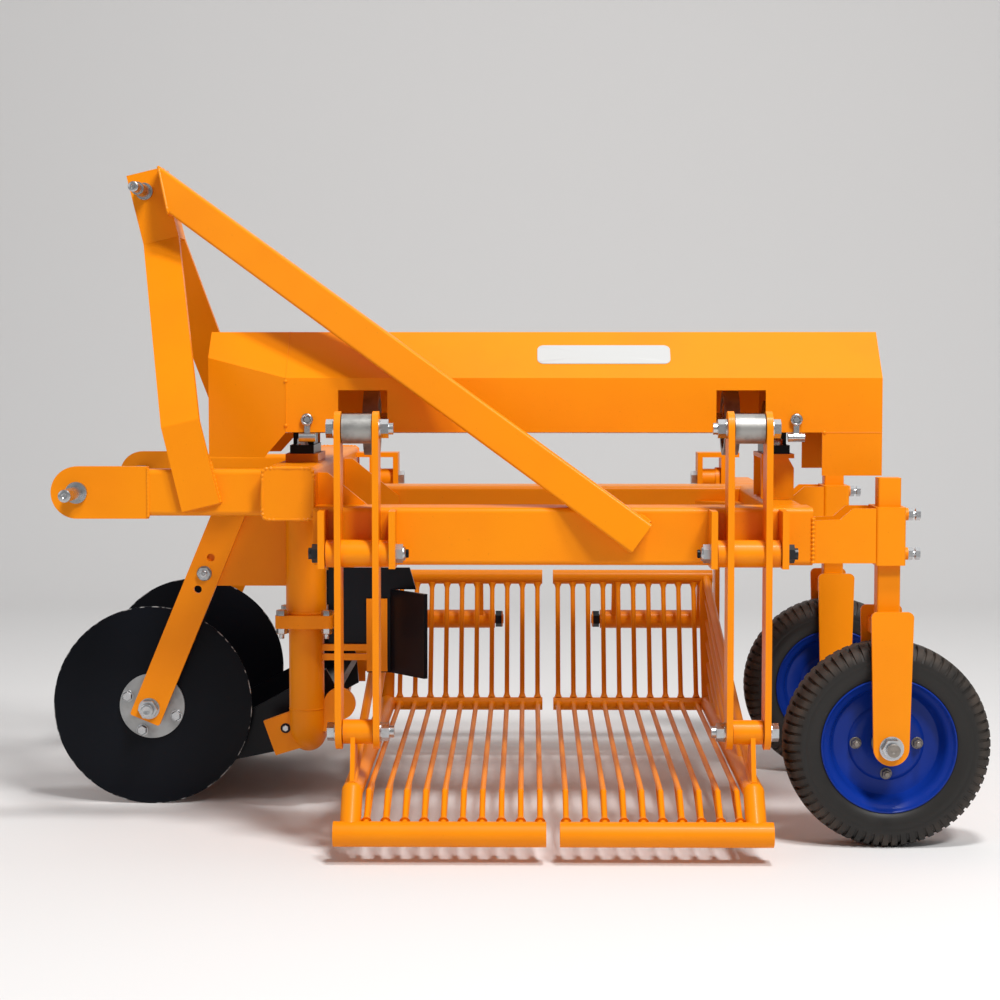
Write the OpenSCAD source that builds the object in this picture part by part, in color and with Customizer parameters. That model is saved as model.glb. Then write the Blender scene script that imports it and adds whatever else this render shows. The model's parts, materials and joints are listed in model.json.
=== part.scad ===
// Mounted one-row potato digger with two side-delivery shaking sieves.
// Lengths are millimetres. X points rearward (the tractor is at -X), Y points to the
// machine's right and Z up, with the ground at Z = 0. Inside the modules X = 0 lies near the
// sieves and Y = 0 is the hitch's centre plane; placed() moves that datum so that the origin
// is the middle of the machine's footprint.

/* [Hitch] */
// Distance between the outer faces of the lower link arms
lower_link_span = 683; // [660:1:720]
// Lower link pin diameter
lower_pin_d = 22; // [20:0.5:28]
// Top link pin diameter
top_pin_d = 19; // [17:0.5:25]
// Free length of each lower link pin
lower_pin_reach = 105; // [60:1:120]
// Lower link pin, X
lower_pin_x = -792; // [-830:1:-760]
// Lower link pin, height above the ground
lower_pin_z = 617; // [600:1:640]
// Height of the link arm plate
arm_h = 92; // [84:1:110]
// Thickness of the link arm plate
arm_t = 15; // [10:1:20]
// Height of the tube behind the link arm plate
arm_tube_h = 82; // [60:1:84]
// Width of the tube behind the link arm plate
arm_tube_w = 40; // [30:1:60]
// Length of the link arm plate behind its pin
arm_plate_l = 125; // [90:1:150]

/* [Mast] */
// Top link pin, X
top_pin_x = -719; // [-740:1:-700]
// Height of the top link pin above the lower link pins
mast_h = 548; // [500:1:600]
// Width of the mast's flat bars
mast_bar_w = 68; // [50:1:80]
// Thickness of the mast's flat bars
mast_bar_t = 12; // [8:1:16]
// Clear gap between the mast bars at the top link pin
mast_gap = 60; // [50:1:80]
// Lean of the mast, degrees from upright
mast_lean = 13.6; // [8:0.1:18]
// Length of the straight piece below the top pin, before the bars spread
mast_head = 98; // [80:1:130]
// Length of the straight foot against the link arm
mast_foot = 150; // [120:1:180]
// Side of the diagonal brace's square tube
brace_side = 60; // [50:1:70]

/* [Frame] */
// Side of the front cross tube's square section
cross_side = 90; // [80:1:100]
// Side of the long beams' square section
beam_side = 100; // [90:1:110]
// Wall of the frame tubes
tube_wall = 5; // [3:0.5:8]
// Outer corner radius of the frame tubes
tube_r = 9; // [6:0.5:12]
// Front cross tube's rear face, X
cross_rear_x = -372; // [-390:1:-365]
// Underside of the front cross tube
cross_z = 572; // [560:1:585]
// Underside of the long beams
beam_z = 494; // [480:1:500]
// Outer face of the long beams from the hitch plane
beam_y = 390; // [380:1:400]
// Rear end of the long beams, X
beam_end_x = 493; // [480:1:520]
// Width of the rear cross tube
rear_cross_w = 60; // [50:1:80]
// Far end of the cross tubes, Y
cross_far_y = 652; // [640:1:680]
// Near end of the front cross tube from the hitch plane
cross_near_y = 378; // [370:1:385]

/* [Shaking drive] */
// Middle between the two sieves, X
mid_x = 43; // [30:1:60]
// Distance of each rocker from the middle between the sieves
rocker_u = 335; // [325:1:345]
// Rockers, Y
rocker_y = -430; // [-440:1:-425]
// Rocker's middle pivot, height
rocker_z = 518; // [505:1:530]
// Upper arm of the rocker
rocker_up = 214; // [205:1:225]
// Lower arm of the rocker
rocker_down = 308; // [290:1:320]
// Width of the rocker's flat bars
rocker_bar_w = 60; // [50:1:66]
// Thickness of the rocker's flat bars
rocker_bar_t = 11; // [8:1:14]
// Clear gap between a rocker's two bars
rocker_gap = 54; // [50:1:60]
// Diameter of the rocker's middle pivot tube
rocker_tube_d = 47; // [40:1:50]
// Diameter of the rocker bolts
rocker_bolt_d = 20; // [16:1:22]
// Gap between the frame plates that hold the rocker's pivot bolt
plate_gap = 110; // [104:1:116]
// Thickness of the frame plates that hold the rocker's pivot bolt
plate_t = 11; // [8:1:14]
// Drive shaft, Y
shaft_y = -60; // [-75:1:-45]
// Drive shaft diameter
shaft_d = 38; // [34:1:42]
// Throw of the eccentrics
throw = 7.8; // [5:0.1:8]
// Radius of the eccentrics
eccentric_r = 30; // [29:1:33]
// Width of the eccentrics
eccentric_w = 26; // [20:1:32]
// Outer radius of the connecting rod's strap
strap_r = 60; // [58:1:64]
// Diameter of the connecting rod's bush
bush_d = 51; // [46:1:54]
// Length of the input spline's stub
spline_l = 78; // [70:1:90]
// Across the splines' tips, 1 3/8 inch
spline_d = 34.9; // [34:0.1:36]

/* [Sieves] */
// Rods in each sieve
sieve_rods = 10; // [8:1:11]
// Spacing of the rods
rod_pitch = 32.7; // [30:0.1:34]
// Rod diameter
rod_d = 10; // [8:0.5:12]
// First rod from the middle between the sieves
rod_first = 22; // [20:1:26]
// Half the gap between the two sieves
sieve_gap = 11.5; // [9:0.5:14]
// Outer end of the sieve's tubes from the middle between the sieves
sieve_u = 371; // [364:1:374]
// Near tube diameter
near_tube_d = 43; // [38:1:48]
// Near tube, Y
near_tube_y = -522; // [-530:1:-510]
// Near tube, height
near_tube_z = 51; // [45:1:56]
// Middle tube diameter
low_tube_d = 27; // [24:1:32]
// Middle tube, Y
low_tube_y = 479; // [470:1:490]
// Middle tube, height
low_tube_z = 119; // [112:1:130]
// Upper tube diameter
top_tube_d = 31; // [26:1:34]
// Upper tube, Y
top_tube_y = 589; // [580:1:600]
// Upper tube, height
top_tube_z = 380; // [370:1:395]
// Bend of the rods behind the near tube, Y
bend_y = -440; // [-450:1:-425]
// Bend of the rods, height
bend_z = 108; // [100:1:112]
// Diameter of the sieve's side rail
rail_d = 36; // [32:1:38]
// Hanger pivot, Y
hanger_y = 624; // [618:1:630]
// Hanger's lower pivot, height
hanger_z = 284; // [276:1:292]
// Diameter of the hanger's shaft
hanger_shaft_d = 20; // [16:1:24]
// Diameter of the tube that turns on the hanger's shaft
hanger_tube_d = 40; // [36:1:42]

/* [Digging tools] */
// Middle of the row, Y
row_y = 267; // [260:1:275]
// Half width of the share
share_half = 252; // [240:1:256]
// Share thickness
share_t = 12; // [8:1:14]
// Length of the share along its slope
share_l = 440; // [420:1:450]
// Slope of the share, degrees
share_slope = 28.4; // [26:0.1:30]
// Tip of the share, X
share_tip_x = -750; // [-760:1:-740]
// Leg upper tube diameter
leg_d = 76; // [70:1:80]
// Leg lower tube diameter
shank_d = 66; // [60:1:70]
// From a disc out to the leg's axis
leg_gap = 52; // [46:1:58]
// Height of the leg's flange joint
flange_z = 362; // [350:1:375]
// Side of the leg's flanges
flange_side = 108; // [100:1:116]
// Thickness of one flange
flange_t = 12; // [8:1:14]
// Disc diameter
disc_d = 380; // [360:1:390]
// Disc thickness
disc_t = 5; // [4:0.5:7]
// Disc, X
disc_x = -718; // [-725:1:-710]
// Space between the share's side and a disc
disc_gap = 27; // [20:1:34]
// Disc hub flange diameter
hub_d = 124; // [110:1:130]
// Width of the disc arm's flat bar
disc_arm_w = 60; // [50:1:64]
// Thickness of the disc arm's flat bar
disc_arm_t = 10; // [8:1:12]
// Bolts in the disc arm
arm_bolt_d = 15; // [12:1:16]
// Thickness of the boards beside the row
board_t = 8; // [6:1:10]
// Lower edge of the deflector board
board_z0 = 262; // [255:1:270]
// Top of the deflector board
board_z1 = 460; // [450:1:470]
// Front edge of the deflector board, X
board_x0 = -375; // [-380:1:-370]
// Top of the deflector's flap
flap_z1 = 419; // [410:1:425]
// Length of the deflector's flap
flap_l = 112; // [100:1:120]
// Turn of the flap away from the board, degrees
flap_turn = 52; // [40:1:60]

/* [Wheels] */
// Tyre outer diameter
tyre_d = 360; // [350:1:370]
// Tyre width
tyre_w = 98; // [90:1:104]
// Rim diameter over its flanges
rim_d = 232; // [220:1:240]
// Wheel axle, X
wheel_x = 628; // [620:1:640]
// Wheels from the hitch plane
wheel_y = 350; // [346:1:354]
// Axle diameter
axle_d = 24; // [20:1:28]
// Side of the wheel post's square section
post_side = 40; // [36:1:44]
// Top of the wheel post
post_top = 645; // [630:1:680]
// Width of the fork plate at its top
fork_w = 73; // [68:1:80]
// Width of the fork plate at the axle
fork_tip_w = 62; // [50:1:66]
// Thickness of the fork plates
fork_t = 8; // [6:1:10]
// Top of the fork plates
fork_top = 416; // [404:1:420]

/* [Hood] */
// Thickness of the hood's sheet
hood_t = 3; // [2:0.5:5]
// Front end of the hood, X
hood_x0 = -583; // [-590:1:-575]
// Rear end of the hood, X
hood_x1 = 639; // [630:1:645]
// Half width of the hood
hood_half = 150; // [146:1:153]
// Half width of the hood's flat top
hood_top_half = 65; // [60:1:70]
// Lower edge of the hood
hood_z0 = 719; // [714:1:724]
// Fold between the hood's wall and its bevel
hood_fold_z = 817; // [810:1:825]
// Top of the hood
hood_top_z = 901; // [890:1:910]

/* [Hidden] */
$fn = 48;
run_fit = 0.08;                 // radial clearance of a turning pin in its bore
side_fit = 1.5;                 // end clearance beside a turning tube
nut_h = 12;
wall_min = 4;
ground_gap = 2;                 // the share's tip stands just above the ground

beam_top = beam_z + beam_side;
cross_front_x = cross_rear_x - cross_side;
cross_mid_x = cross_rear_x - cross_side / 2;
cross_top = cross_z + cross_side;
rear_cross_x1 = beam_end_x - 3;
rear_cross_x0 = rear_cross_x1 - rear_cross_w;
top_pin_z = lower_pin_z + mast_h;
arm_y = lower_link_span / 2;
shaft_z = rocker_z + rocker_up;
sieve_pin_z = rocker_z - rocker_down;
hanger_top_z = hanger_z + rocker_down;
strap_bore_r = eccentric_r + 2 * throw + 2;
disc_r = disc_d / 2;
disc_offset = share_half + disc_gap;
leg_offset = disc_offset + leg_gap;
tyre_r = tyre_d / 2;
clamp_x0 = wheel_x - post_side / 2 - 6;
clamp_x1 = wheel_x + post_side / 2 + 6;
rail_u = rocker_u + 8;
post_d = 30;
deflector_x = -303;
deflector_y = row_y - leg_offset - board_t / 2;
side_board_y = row_y + share_half - 41;

// the footprint's limits give the origin
foot_x0 = disc_x - disc_r;
foot_x1 = wheel_x + tyre_r;
foot_y0 = near_tube_y - near_tube_d / 2;
foot_y1 = cross_far_y;
origin_x = (foot_x0 + foot_x1) / 2;
origin_y = (foot_y0 + foot_y1) / 2;

orange = [0.93, 0.42, 0.05];
black = [0.06, 0.06, 0.07];
zinc = [0.75, 0.76, 0.78];
casting = [0.48, 0.47, 0.45];
blue = [0.05, 0.12, 0.62];
rubber = [0.09, 0.08, 0.07];

// ---------------------------------------------------------------- helpers

// moves the working datum to the part's own origin
module placed(colour) {
    color(colour) translate([-origin_x, -origin_y, 0]) children();
}

// side = -1 is the front half and +1 the rear half, mirrored about the sieves' middle
module half(side) {
    translate([mid_x, 0, 0]) mirror([side < 0 ? 1 : 0, 0, 0]) children();
}

// side = -1 is the left machine side and +1 the right one, mirrored about the hitch plane
module hand(side) {
    mirror([0, side > 0 ? 1 : 0, 0]) children();
}

// side = -1 is the left of the row and +1 its right
module row_hand(side) {
    translate([0, row_y, 0]) mirror([0, side > 0 ? 1 : 0, 0]) children();
}

// carries a drawing of (Y, Z) from x0 to x1
module along_x(x0, x1) {
    translate([x0, 0, 0]) rotate([90, 0, 90]) linear_extrude(x1 - x0) children();
}

// carries a drawing of (X, Z) from y0 to y1
module along_y(y0, y1) {
    translate([0, y1, 0]) rotate([90, 0, 0]) linear_extrude(y1 - y0) children();
}

// carries a drawing of (X, Y) from z0 to z1
module along_z(z0, z1) {
    translate([0, 0, z0]) linear_extrude(z1 - z0) children();
}

module box(lo, hi) {
    translate(lo) cube(hi - lo);
}

module rod_x(x0, x1, y, z, d) {
    translate([x0, y, z]) rotate([0, 90, 0]) cylinder(h = x1 - x0, d = d);
}

module rod_y(y0, y1, x, z, d) {
    translate([x, y0, z]) rotate([-90, 0, 0]) cylinder(h = y1 - y0, d = d);
}

module rod_z(z0, z1, x, y, d) {
    translate([x, y, z0]) cylinder(h = z1 - z0, d = d);
}

// hexagon nut or head across its flats
module hex_x(x0, x1, y, z, flats) {
    translate([x0, y, z]) rotate([0, 90, 0]) cylinder(h = x1 - x0, d = flats / cos(30), $fn = 6);
}

module hex_y(y0, y1, x, z, flats) {
    translate([x, y0, z]) rotate([-90, 0, 0]) cylinder(h = y1 - y0, d = flats / cos(30), $fn = 6);
}

module hex_z(z0, z1, x, y, flats) {
    translate([x, y, z0]) cylinder(h = z1 - z0, d = flats / cos(30), $fn = 6);
}

// rectangle with round corners, centred
module round_rect(w, h, r) {
    square([w - 2 * r, h], center = true);
    square([w, h - 2 * r], center = true);
    for (x = [-1, 1], y = [-1, 1])
        translate([x * (w / 2 - r), y * (h / 2 - r)]) circle(r);
}

// wall of a rectangular tube, centred
module tube_section(w, h, wall, r) {
    difference() {
        round_rect(w, h, r);
        round_rect(w - 2 * wall, h - 2 * wall, max(r - wall, 1));
    }
}

// bar with both ends round between two points of a plane
module slot_bar(p, q, w) {
    run = q - p;
    translate(p) circle(d = w);
    translate(q) circle(d = w);
    translate(p) rotate(atan2(run.y, run.x)) translate([0, -w / 2]) square([norm(run), w]);
}

// round rod between two points in space
module strut(p, q, d) {
    run = q - p;
    translate(p) rotate([0, acos(run.z / norm(run)), atan2(run.y, run.x)]) cylinder(h = norm(run), d = d);
}

// round rod through points in space, with a slightly fuller ball at each inner bend
module bent_rod(points, d) {
    for (i = [1 : len(points) - 1]) {
        if (i > 1)
            translate(points[i - 1]) sphere(d = d + 0.8);
        strut(points[i - 1], points[i], d);
    }
}

// ---------------------------------------------------------------- hitch and mast

module link_arms() placed(orange) {
    for (side = [-1, 1])
        hand(side) difference() {
            union() {
                along_y(-arm_y, -arm_y + arm_t) {
                    translate([lower_pin_x, lower_pin_z]) circle(d = arm_h);
                    translate([lower_pin_x, lower_pin_z - arm_h / 2]) square([arm_plate_l, arm_h]);
                }
                translate([0, -arm_y + arm_t + arm_tube_w / 2 - arm_t, lower_pin_z])
                    along_x(lower_pin_x + arm_plate_l, cross_front_x)
                        tube_section(arm_tube_w, arm_tube_h, tube_wall, tube_r);
            }
            rod_y(-arm_y - 1, -arm_y + arm_t + 1, lower_pin_x, lower_pin_z, lower_pin_d);
        }
}

module lower_link_pins() placed(zinc) {
    for (side = [-1, 1])
        hand(side) {
            rod_y(-arm_y - lower_pin_reach, -arm_y + arm_t + 26, lower_pin_x, lower_pin_z, lower_pin_d);
            rod_y(-arm_y - 8, -arm_y, lower_pin_x, lower_pin_z, lower_pin_d + 16);
            hex_y(-arm_y + arm_t, -arm_y + arm_t + 18, lower_pin_x, lower_pin_z, lower_pin_d + 12);
        }
}

// centre line of a mast bar in its own leaning plane: (Y, Z) from the top pin down
function mast_line() = let (
        y_top = mast_gap / 2 + mast_bar_t / 2,
        y_low = arm_y + mast_bar_t / 2,
        z_low = (lower_pin_z - arm_h / 2 + 19 - top_pin_z) / cos(mast_lean)
    ) [[y_top, 36], [y_top, -mast_head], [y_low, z_low + mast_foot], [y_low, z_low]];

// flat strip of the bar's thickness along its centre line
module strip(points, t) {
    for (i = [1 : len(points) - 1]) {
        run = points[i] - points[i - 1];
        translate(points[i - 1]) rotate(atan2(run.y, run.x))
            translate([0, -t / 2]) square([norm(run), t]);
    }
    for (i = [1 : 1 : len(points) - 2])
        translate(points[i]) circle(d = t);
}

module mast_frame() {
    translate([top_pin_x, 0, top_pin_z]) rotate([0, -mast_lean, 0]) children();
}

module mast_bars() placed(orange) {
    mast_frame() {
        for (side = [-1, 1])
            difference() {
                translate([-mast_bar_w / 2 + 8, 0, 0]) along_x(0, mast_bar_w)
                    mirror([side < 0 ? 1 : 0, 0]) strip(mast_line(), mast_bar_t);
                rod_y(-arm_y, arm_y, 0, 0, top_pin_d);
            }
        translate([mast_bar_w / 2 + 8 - 12, 0, 0]) along_x(0, 12)
            translate([-mast_gap / 2, -mast_head]) square([mast_gap, mast_head + 30]);
    }
}

module top_link_pin() placed(zinc) {
    reach = mast_gap / 2 + mast_bar_t;
    mast_frame() {
        rod_y(-reach - 120, reach + 26, 0, 0, top_pin_d);
        rod_y(-reach - 6, -reach, 0, 0, top_pin_d + 13);
        rod_y(-reach - 78, -reach - 6, 0, 0, top_pin_d + 5);
        rod_y(reach, reach + 6, 0, 0, top_pin_d + 16);
    }
}

// the brace runs from the mast's left bar to the outer face of the left beam
module brace_run() {
    foot = [184, -beam_y - brace_side / 2 - 2, beam_top - 42];
    head = [top_pin_x + 46, -mast_gap / 2 - brace_side / 2 - 2, top_pin_z - 2];
    along = (foot - head) / norm(foot - head);
    across = ([0, 1, 0] - along.y * along) / norm([0, 1, 0] - along.y * along);
    up = cross(across, along);
    start = head - 60 * along;
    multmatrix([[up.x, across.x, along.x, start.x], [up.y, across.y, along.y, start.y],
            [up.z, across.z, along.z, start.z], [0, 0, 0, 1]])
        linear_extrude(norm(foot - start)) children();
}

module mast_brace() placed(orange) {
    back = mast_bar_w / 2 + 8;
    difference() {
        brace_run() tube_section(brace_side, brace_side, wall_min, 5);
        mast_frame() box([-300, -arm_y, -400], [back, arm_y, 100]);
        box([-1000, -beam_y, beam_z], [beam_end_x, 0, beam_top]);
    }
    // plate that closes the brace where it meets the mast
    intersection() {
        brace_run() round_rect(brace_side, brace_side, 5);
        mast_frame() box([back, -arm_y, -200], [back + wall_min, arm_y, 100]);
    }
}

module front_cross_tube() placed(orange) {
    translate([cross_mid_x, 0, cross_z + cross_side / 2])
        along_y(-cross_near_y, cross_far_y) tube_section(cross_side, cross_side, tube_wall, tube_r);
    for (y = [-cross_near_y, cross_far_y - 5])
        translate([cross_mid_x, 0, cross_z + cross_side / 2])
            along_y(y, y + 5) round_rect(cross_side, cross_side, tube_r);
}

module beam(side) {
    hand(side) {
        translate([0, -beam_y + beam_side / 2, beam_z + beam_side / 2])
            along_x(cross_rear_x, beam_end_x) tube_section(beam_side, beam_side, tube_wall, tube_r);
        // saddle plate that joins the lower beam to the higher cross tube
        along_y(-beam_y + beam_side, -beam_y + beam_side + 10) polygon([
            [cross_rear_x, cross_top - 12], [cross_rear_x + 16, cross_top - 12],
            [cross_rear_x + 110, beam_top - 20], [cross_rear_x + 110, beam_z + 14],
            [cross_rear_x, beam_z + 14]]);
    }
}

module left_beam() placed(orange) beam(-1);

module right_beam() placed(orange) beam(1);

module rear_cross_tube() placed(orange) {
    mid = [(rear_cross_x0 + rear_cross_x1) / 2, 0, beam_z + beam_side / 2];
    inner = beam_y - beam_side;
    for (span = [[-inner, inner], [beam_y, cross_far_y]])
        translate(mid) along_y(span[0], span[1]) tube_section(rear_cross_w, beam_side, tube_wall, tube_r);
    // flat corner gussets between the beams and the rear cross tube
    for (side = [-1, 1])
        along_z(beam_top - 8 - 30, beam_top - 30) polygon([
            [rear_cross_x0, side * inner], [rear_cross_x0 - 90, side * inner],
            [rear_cross_x0, side * (inner - 90)]]);
}

// cheeks and upright sleeve that clamp a wheel post behind its beam
module post_clamp(side) {
    hand(side) {
        low = beam_z + 4;
        for (y = [-beam_y + 2, -beam_y + beam_side - 10])
            along_y(y, y + 8) polygon([
                [beam_end_x, low], [clamp_x0, low], [clamp_x0, beam_top - 1],
                [clamp_x0 - 40, beam_top - 1], [clamp_x0 - 62, beam_top - 20], [beam_end_x, beam_top - 22]]);
        box([beam_end_x, -beam_y + 10, low], [clamp_x0, -beam_y + beam_side - 10, low + 6]);
        translate([wheel_x, 0, 0]) along_z(beam_z, beam_top + 1) difference() {
            translate([0, -beam_y + beam_side / 2]) round_rect(post_side + 12, beam_side - 4, 6);
            translate([0, -wheel_y]) square(post_side + 1, center = true);
        }
        for (z = [beam_z + 18, beam_top - 13])
            difference() {
                rod_x(clamp_x1, clamp_x1 + 9, -wheel_y, z, 22);
                rod_x(clamp_x1 - 1, clamp_x1 + 10, -wheel_y, z, 12);
            }
    }
}

module left_post_clamp() placed(orange) post_clamp(-1);

module right_post_clamp() placed(orange) post_clamp(1);

module clamp_screws() placed(zinc) {
    for (side = [-1, 1], z = [beam_z + 18, beam_top - 13])
        hand(side) {
            rod_x(clamp_x1, clamp_x1 + 24, -wheel_y, z, 12);
            hex_x(clamp_x1 + 9, clamp_x1 + 17, -wheel_y, z, 19);
            hex_x(clamp_x1 + 22, clamp_x1 + 30, -wheel_y, z, 19);
        }
}

// ---------------------------------------------------------------- rockers, rods and drive

module rocker_plates() placed(orange) {
    for (side = [-1, 1], end = [-1, 1])
        half(side) {
            x0 = rocker_u + (end < 0 ? -plate_gap / 2 - plate_t : plate_gap / 2);
            difference() {
                along_x(x0, x0 + plate_t)
                    translate([rocker_y - 30, beam_z]) square([-rocker_y + 30 - beam_y, beam_side - 2]);
                rod_x(x0 - 1, x0 + plate_t + 1, rocker_y, rocker_z, rocker_bolt_d);
            }
        }
}

module rocker(side) {
    half(side) difference() {
        union() {
            for (x0 = [rocker_u - rocker_gap / 2 - rocker_bar_t, rocker_u + rocker_gap / 2])
                along_x(x0, x0 + rocker_bar_t)
                    slot_bar([rocker_y, sieve_pin_z], [rocker_y, shaft_z], rocker_bar_w);
            rod_x(rocker_u - plate_gap / 2 + side_fit, rocker_u + plate_gap / 2 - side_fit,
                rocker_y, rocker_z, rocker_tube_d);
        }
        for (z = [sieve_pin_z, rocker_z, shaft_z])
            rod_x(rocker_u - plate_gap, rocker_u + plate_gap, rocker_y, z,
                rocker_bolt_d + (z == rocker_z ? 2 * run_fit : 0));
    }
}

module front_rocker() placed(orange) rocker(-1);

module rear_rocker() placed(orange) rocker(1);

// bolts that the rocker carries at its two ends
module rocker_bolts(side) {
    reach = rocker_gap / 2 + rocker_bar_t;
    half(side)
        for (z = [sieve_pin_z, shaft_z]) {
            rod_x(rocker_u - reach - 24, rocker_u + reach + 8, rocker_y, z, rocker_bolt_d);
            rod_x(rocker_u - reach - 3, rocker_u - reach, rocker_y, z, 34);
            hex_x(rocker_u - reach - 16, rocker_u - reach - 3, rocker_y, z, 28);
            rod_x(rocker_u + reach, rocker_u + reach + 3, rocker_y, z, 34);
            hex_x(rocker_u + reach + 3, rocker_u + reach + 15, rocker_y, z, 28);
        }
}

module front_rocker_bolts() placed(zinc) rocker_bolts(-1);

module rear_rocker_bolts() placed(zinc) rocker_bolts(1);

module conrod(side) {
    half(side) difference() {
        union() {
            rod_x(rocker_u - rocker_gap / 2 + side_fit, rocker_u + rocker_gap / 2 - side_fit,
                rocker_y, shaft_z, bush_d);
            rod_x(rocker_u - 14, rocker_u + 14, shaft_y, shaft_z, 2 * strap_r);
            translate([rocker_u, 0, 0]) along_y(rocker_y, shaft_y) translate([0, shaft_z])
                union() {
                    square([14, 40], center = true);
                    square([30, 12], center = true);
                }
        }
        rod_x(rocker_u - 60, rocker_u + 60, rocker_y, shaft_z, rocker_bolt_d + 2 * run_fit);
        rod_x(rocker_u - 60, rocker_u + 60, shaft_y, shaft_z, 2 * strap_bore_r);
    }
}

module front_conrod() placed(casting) conrod(-1);

module rear_conrod() placed(casting) conrod(1);

module drive_shaft() placed(zinc) {
    spline_x1 = hood_x0 + 8 + spline_l;
    rod_x(spline_x1, rear_cross_x1 + 22, shaft_y, shaft_z, shaft_d);
    translate([0, shaft_y, shaft_z]) along_x(hood_x0 + 8, spline_x1) {
        circle(d = spline_d - 6);
        for (i = [0 : 5])
            rotate(60 * i) translate([0, -4.3]) square([spline_d / 2, 8.6]);
    }
    for (side = [-1, 1])
        translate([0, 0, side * throw]) half(side)
            rod_x(rocker_u - eccentric_w / 2, rocker_u + eccentric_w / 2, shaft_y, shaft_z, 2 * eccentric_r);
}

// stands under the two shaft bearings, and the stays that hold the hood
module shaft_stands() placed(orange) {
    seat = cross_top + 15;
    box([cross_mid_x - 30, shaft_y - 75, cross_top], [cross_mid_x + 30, shaft_y + 75, seat]);
    rear_mid = (rear_cross_x0 + rear_cross_x1) / 2;
    for (y = [shaft_y - 70, shaft_y + 62])
        along_y(y, y + 8) polygon([
            [rear_mid - 30, beam_top], [rear_mid + 30, beam_top], [rear_mid + 30, seat - 26],
            [rear_mid + 20, seat - 8], [rear_mid - 30, seat - 8]]);
    box([rear_mid - 30, shaft_y - 75, seat - 8], [rear_mid + 30, shaft_y + 75, seat]);
    // stays from the cross tubes up to the hood's bevel
    bevel = (hood_top_z - hood_fold_z) / (hood_half - hood_top_half);
    inner_top = hood_top_z - hood_t;
    top_at = inner_top - (79 - hood_top_half + hood_t * 0.42) * bevel;
    for (stay = [[cross_mid_x, cross_top], [rear_mid, beam_top]])
        along_x(stay[0] - 20, stay[0] + 20) translate([shaft_y, 0]) polygon([
            [73, stay[1]], [79, stay[1]], [79, top_at], [73, top_at + 6 * bevel]]);
}

module shaft_bearings() placed(black) {
    seat = cross_top + 15;
    for (x = [cross_mid_x, (rear_cross_x0 + rear_cross_x1) / 2])
        difference() {
            union() {
                box([x - 22, shaft_y - 72, seat], [x + 22, shaft_y + 72, seat + 16]);
                rod_x(x - 19, x + 19, shaft_y, shaft_z, 84);
                along_x(x - 19, x + 19) translate([shaft_y - 40, seat + 8]) square([80, shaft_z - seat - 8]);
            }
            rod_x(x - 40, x + 40, shaft_y, shaft_z, shaft_d + 2 * run_fit);
            box([x - 60, shaft_y - 90, seat - 60], [x + 60, shaft_y + 90, seat]);
        }
}

// ---------------------------------------------------------------- hood

module hood_section(half_w, top_half, top_z, fold_z, low) {
    polygon([
        [shaft_y - half_w, low], [shaft_y - half_w, fold_z], [shaft_y - top_half, top_z],
        [shaft_y + top_half, top_z], [shaft_y + half_w, fold_z], [shaft_y + half_w, low]]);
}

module hood_plan(half_w, x0, x1) {
    nose = 37;
    corner = -438;
    polygon([
        [x0, shaft_y - half_w + nose], [corner, shaft_y - half_w], [x1, shaft_y - half_w],
        [x1, shaft_y + half_w], [corner, shaft_y + half_w], [x0, shaft_y + half_w - nose]]);
}

module shaft_hood() placed(orange) {
    low = 635;
    difference() {
        intersection() {
            along_x(hood_x0, hood_x1)
                hood_section(hood_half, hood_top_half, hood_top_z, hood_fold_z, low);
            along_z(low, hood_top_z) hood_plan(hood_half, hood_x0, hood_x1);
        }
        intersection() {
            along_x(hood_x0 - 1, hood_x1 - hood_t) hood_section(hood_half - hood_t,
                hood_top_half - hood_t * 0.42, hood_top_z - hood_t, hood_fold_z - hood_t * 0.4, low - 1);
            along_z(low - 1, hood_top_z) hood_plan(hood_half - hood_t, hood_x0 - 1, hood_x1 - hood_t);
        }
        // lower edge with its deeper ends, open over the two rockers
        along_y(shaft_y - 300, shaft_y + 300) polygon([
            [hood_x0 - 5, low - 5], [hood_x0 - 5, 673], [-479, 673], [-438, hood_z0],
            [531, hood_z0], [531, 641], [hood_x1 + 5, 641], [hood_x1 + 5, low - 5]]);
        for (side = [-1, 1])
            half(side) box([rocker_u - 38, shaft_y - 300, low], [rocker_u + 51, shaft_y - 100, 795]);
    }
}

module hood_clips() placed(zinc) {
    for (x = [-399, 484]) {
        y = shaft_y - hood_half;
        rod_y(y - 5, y, x, 742, 18);
        hex_y(y - 9, y - 5, x, 742, 10);
        box([x - 5, y - 5, 710], [x + 5, y, 742]);
        rod_x(x - 15, x + 15, y - 2, 710, 16);
    }
}

// ---------------------------------------------------------------- sieves

function rod_u(i) = rod_first + rod_pitch * i;

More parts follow.
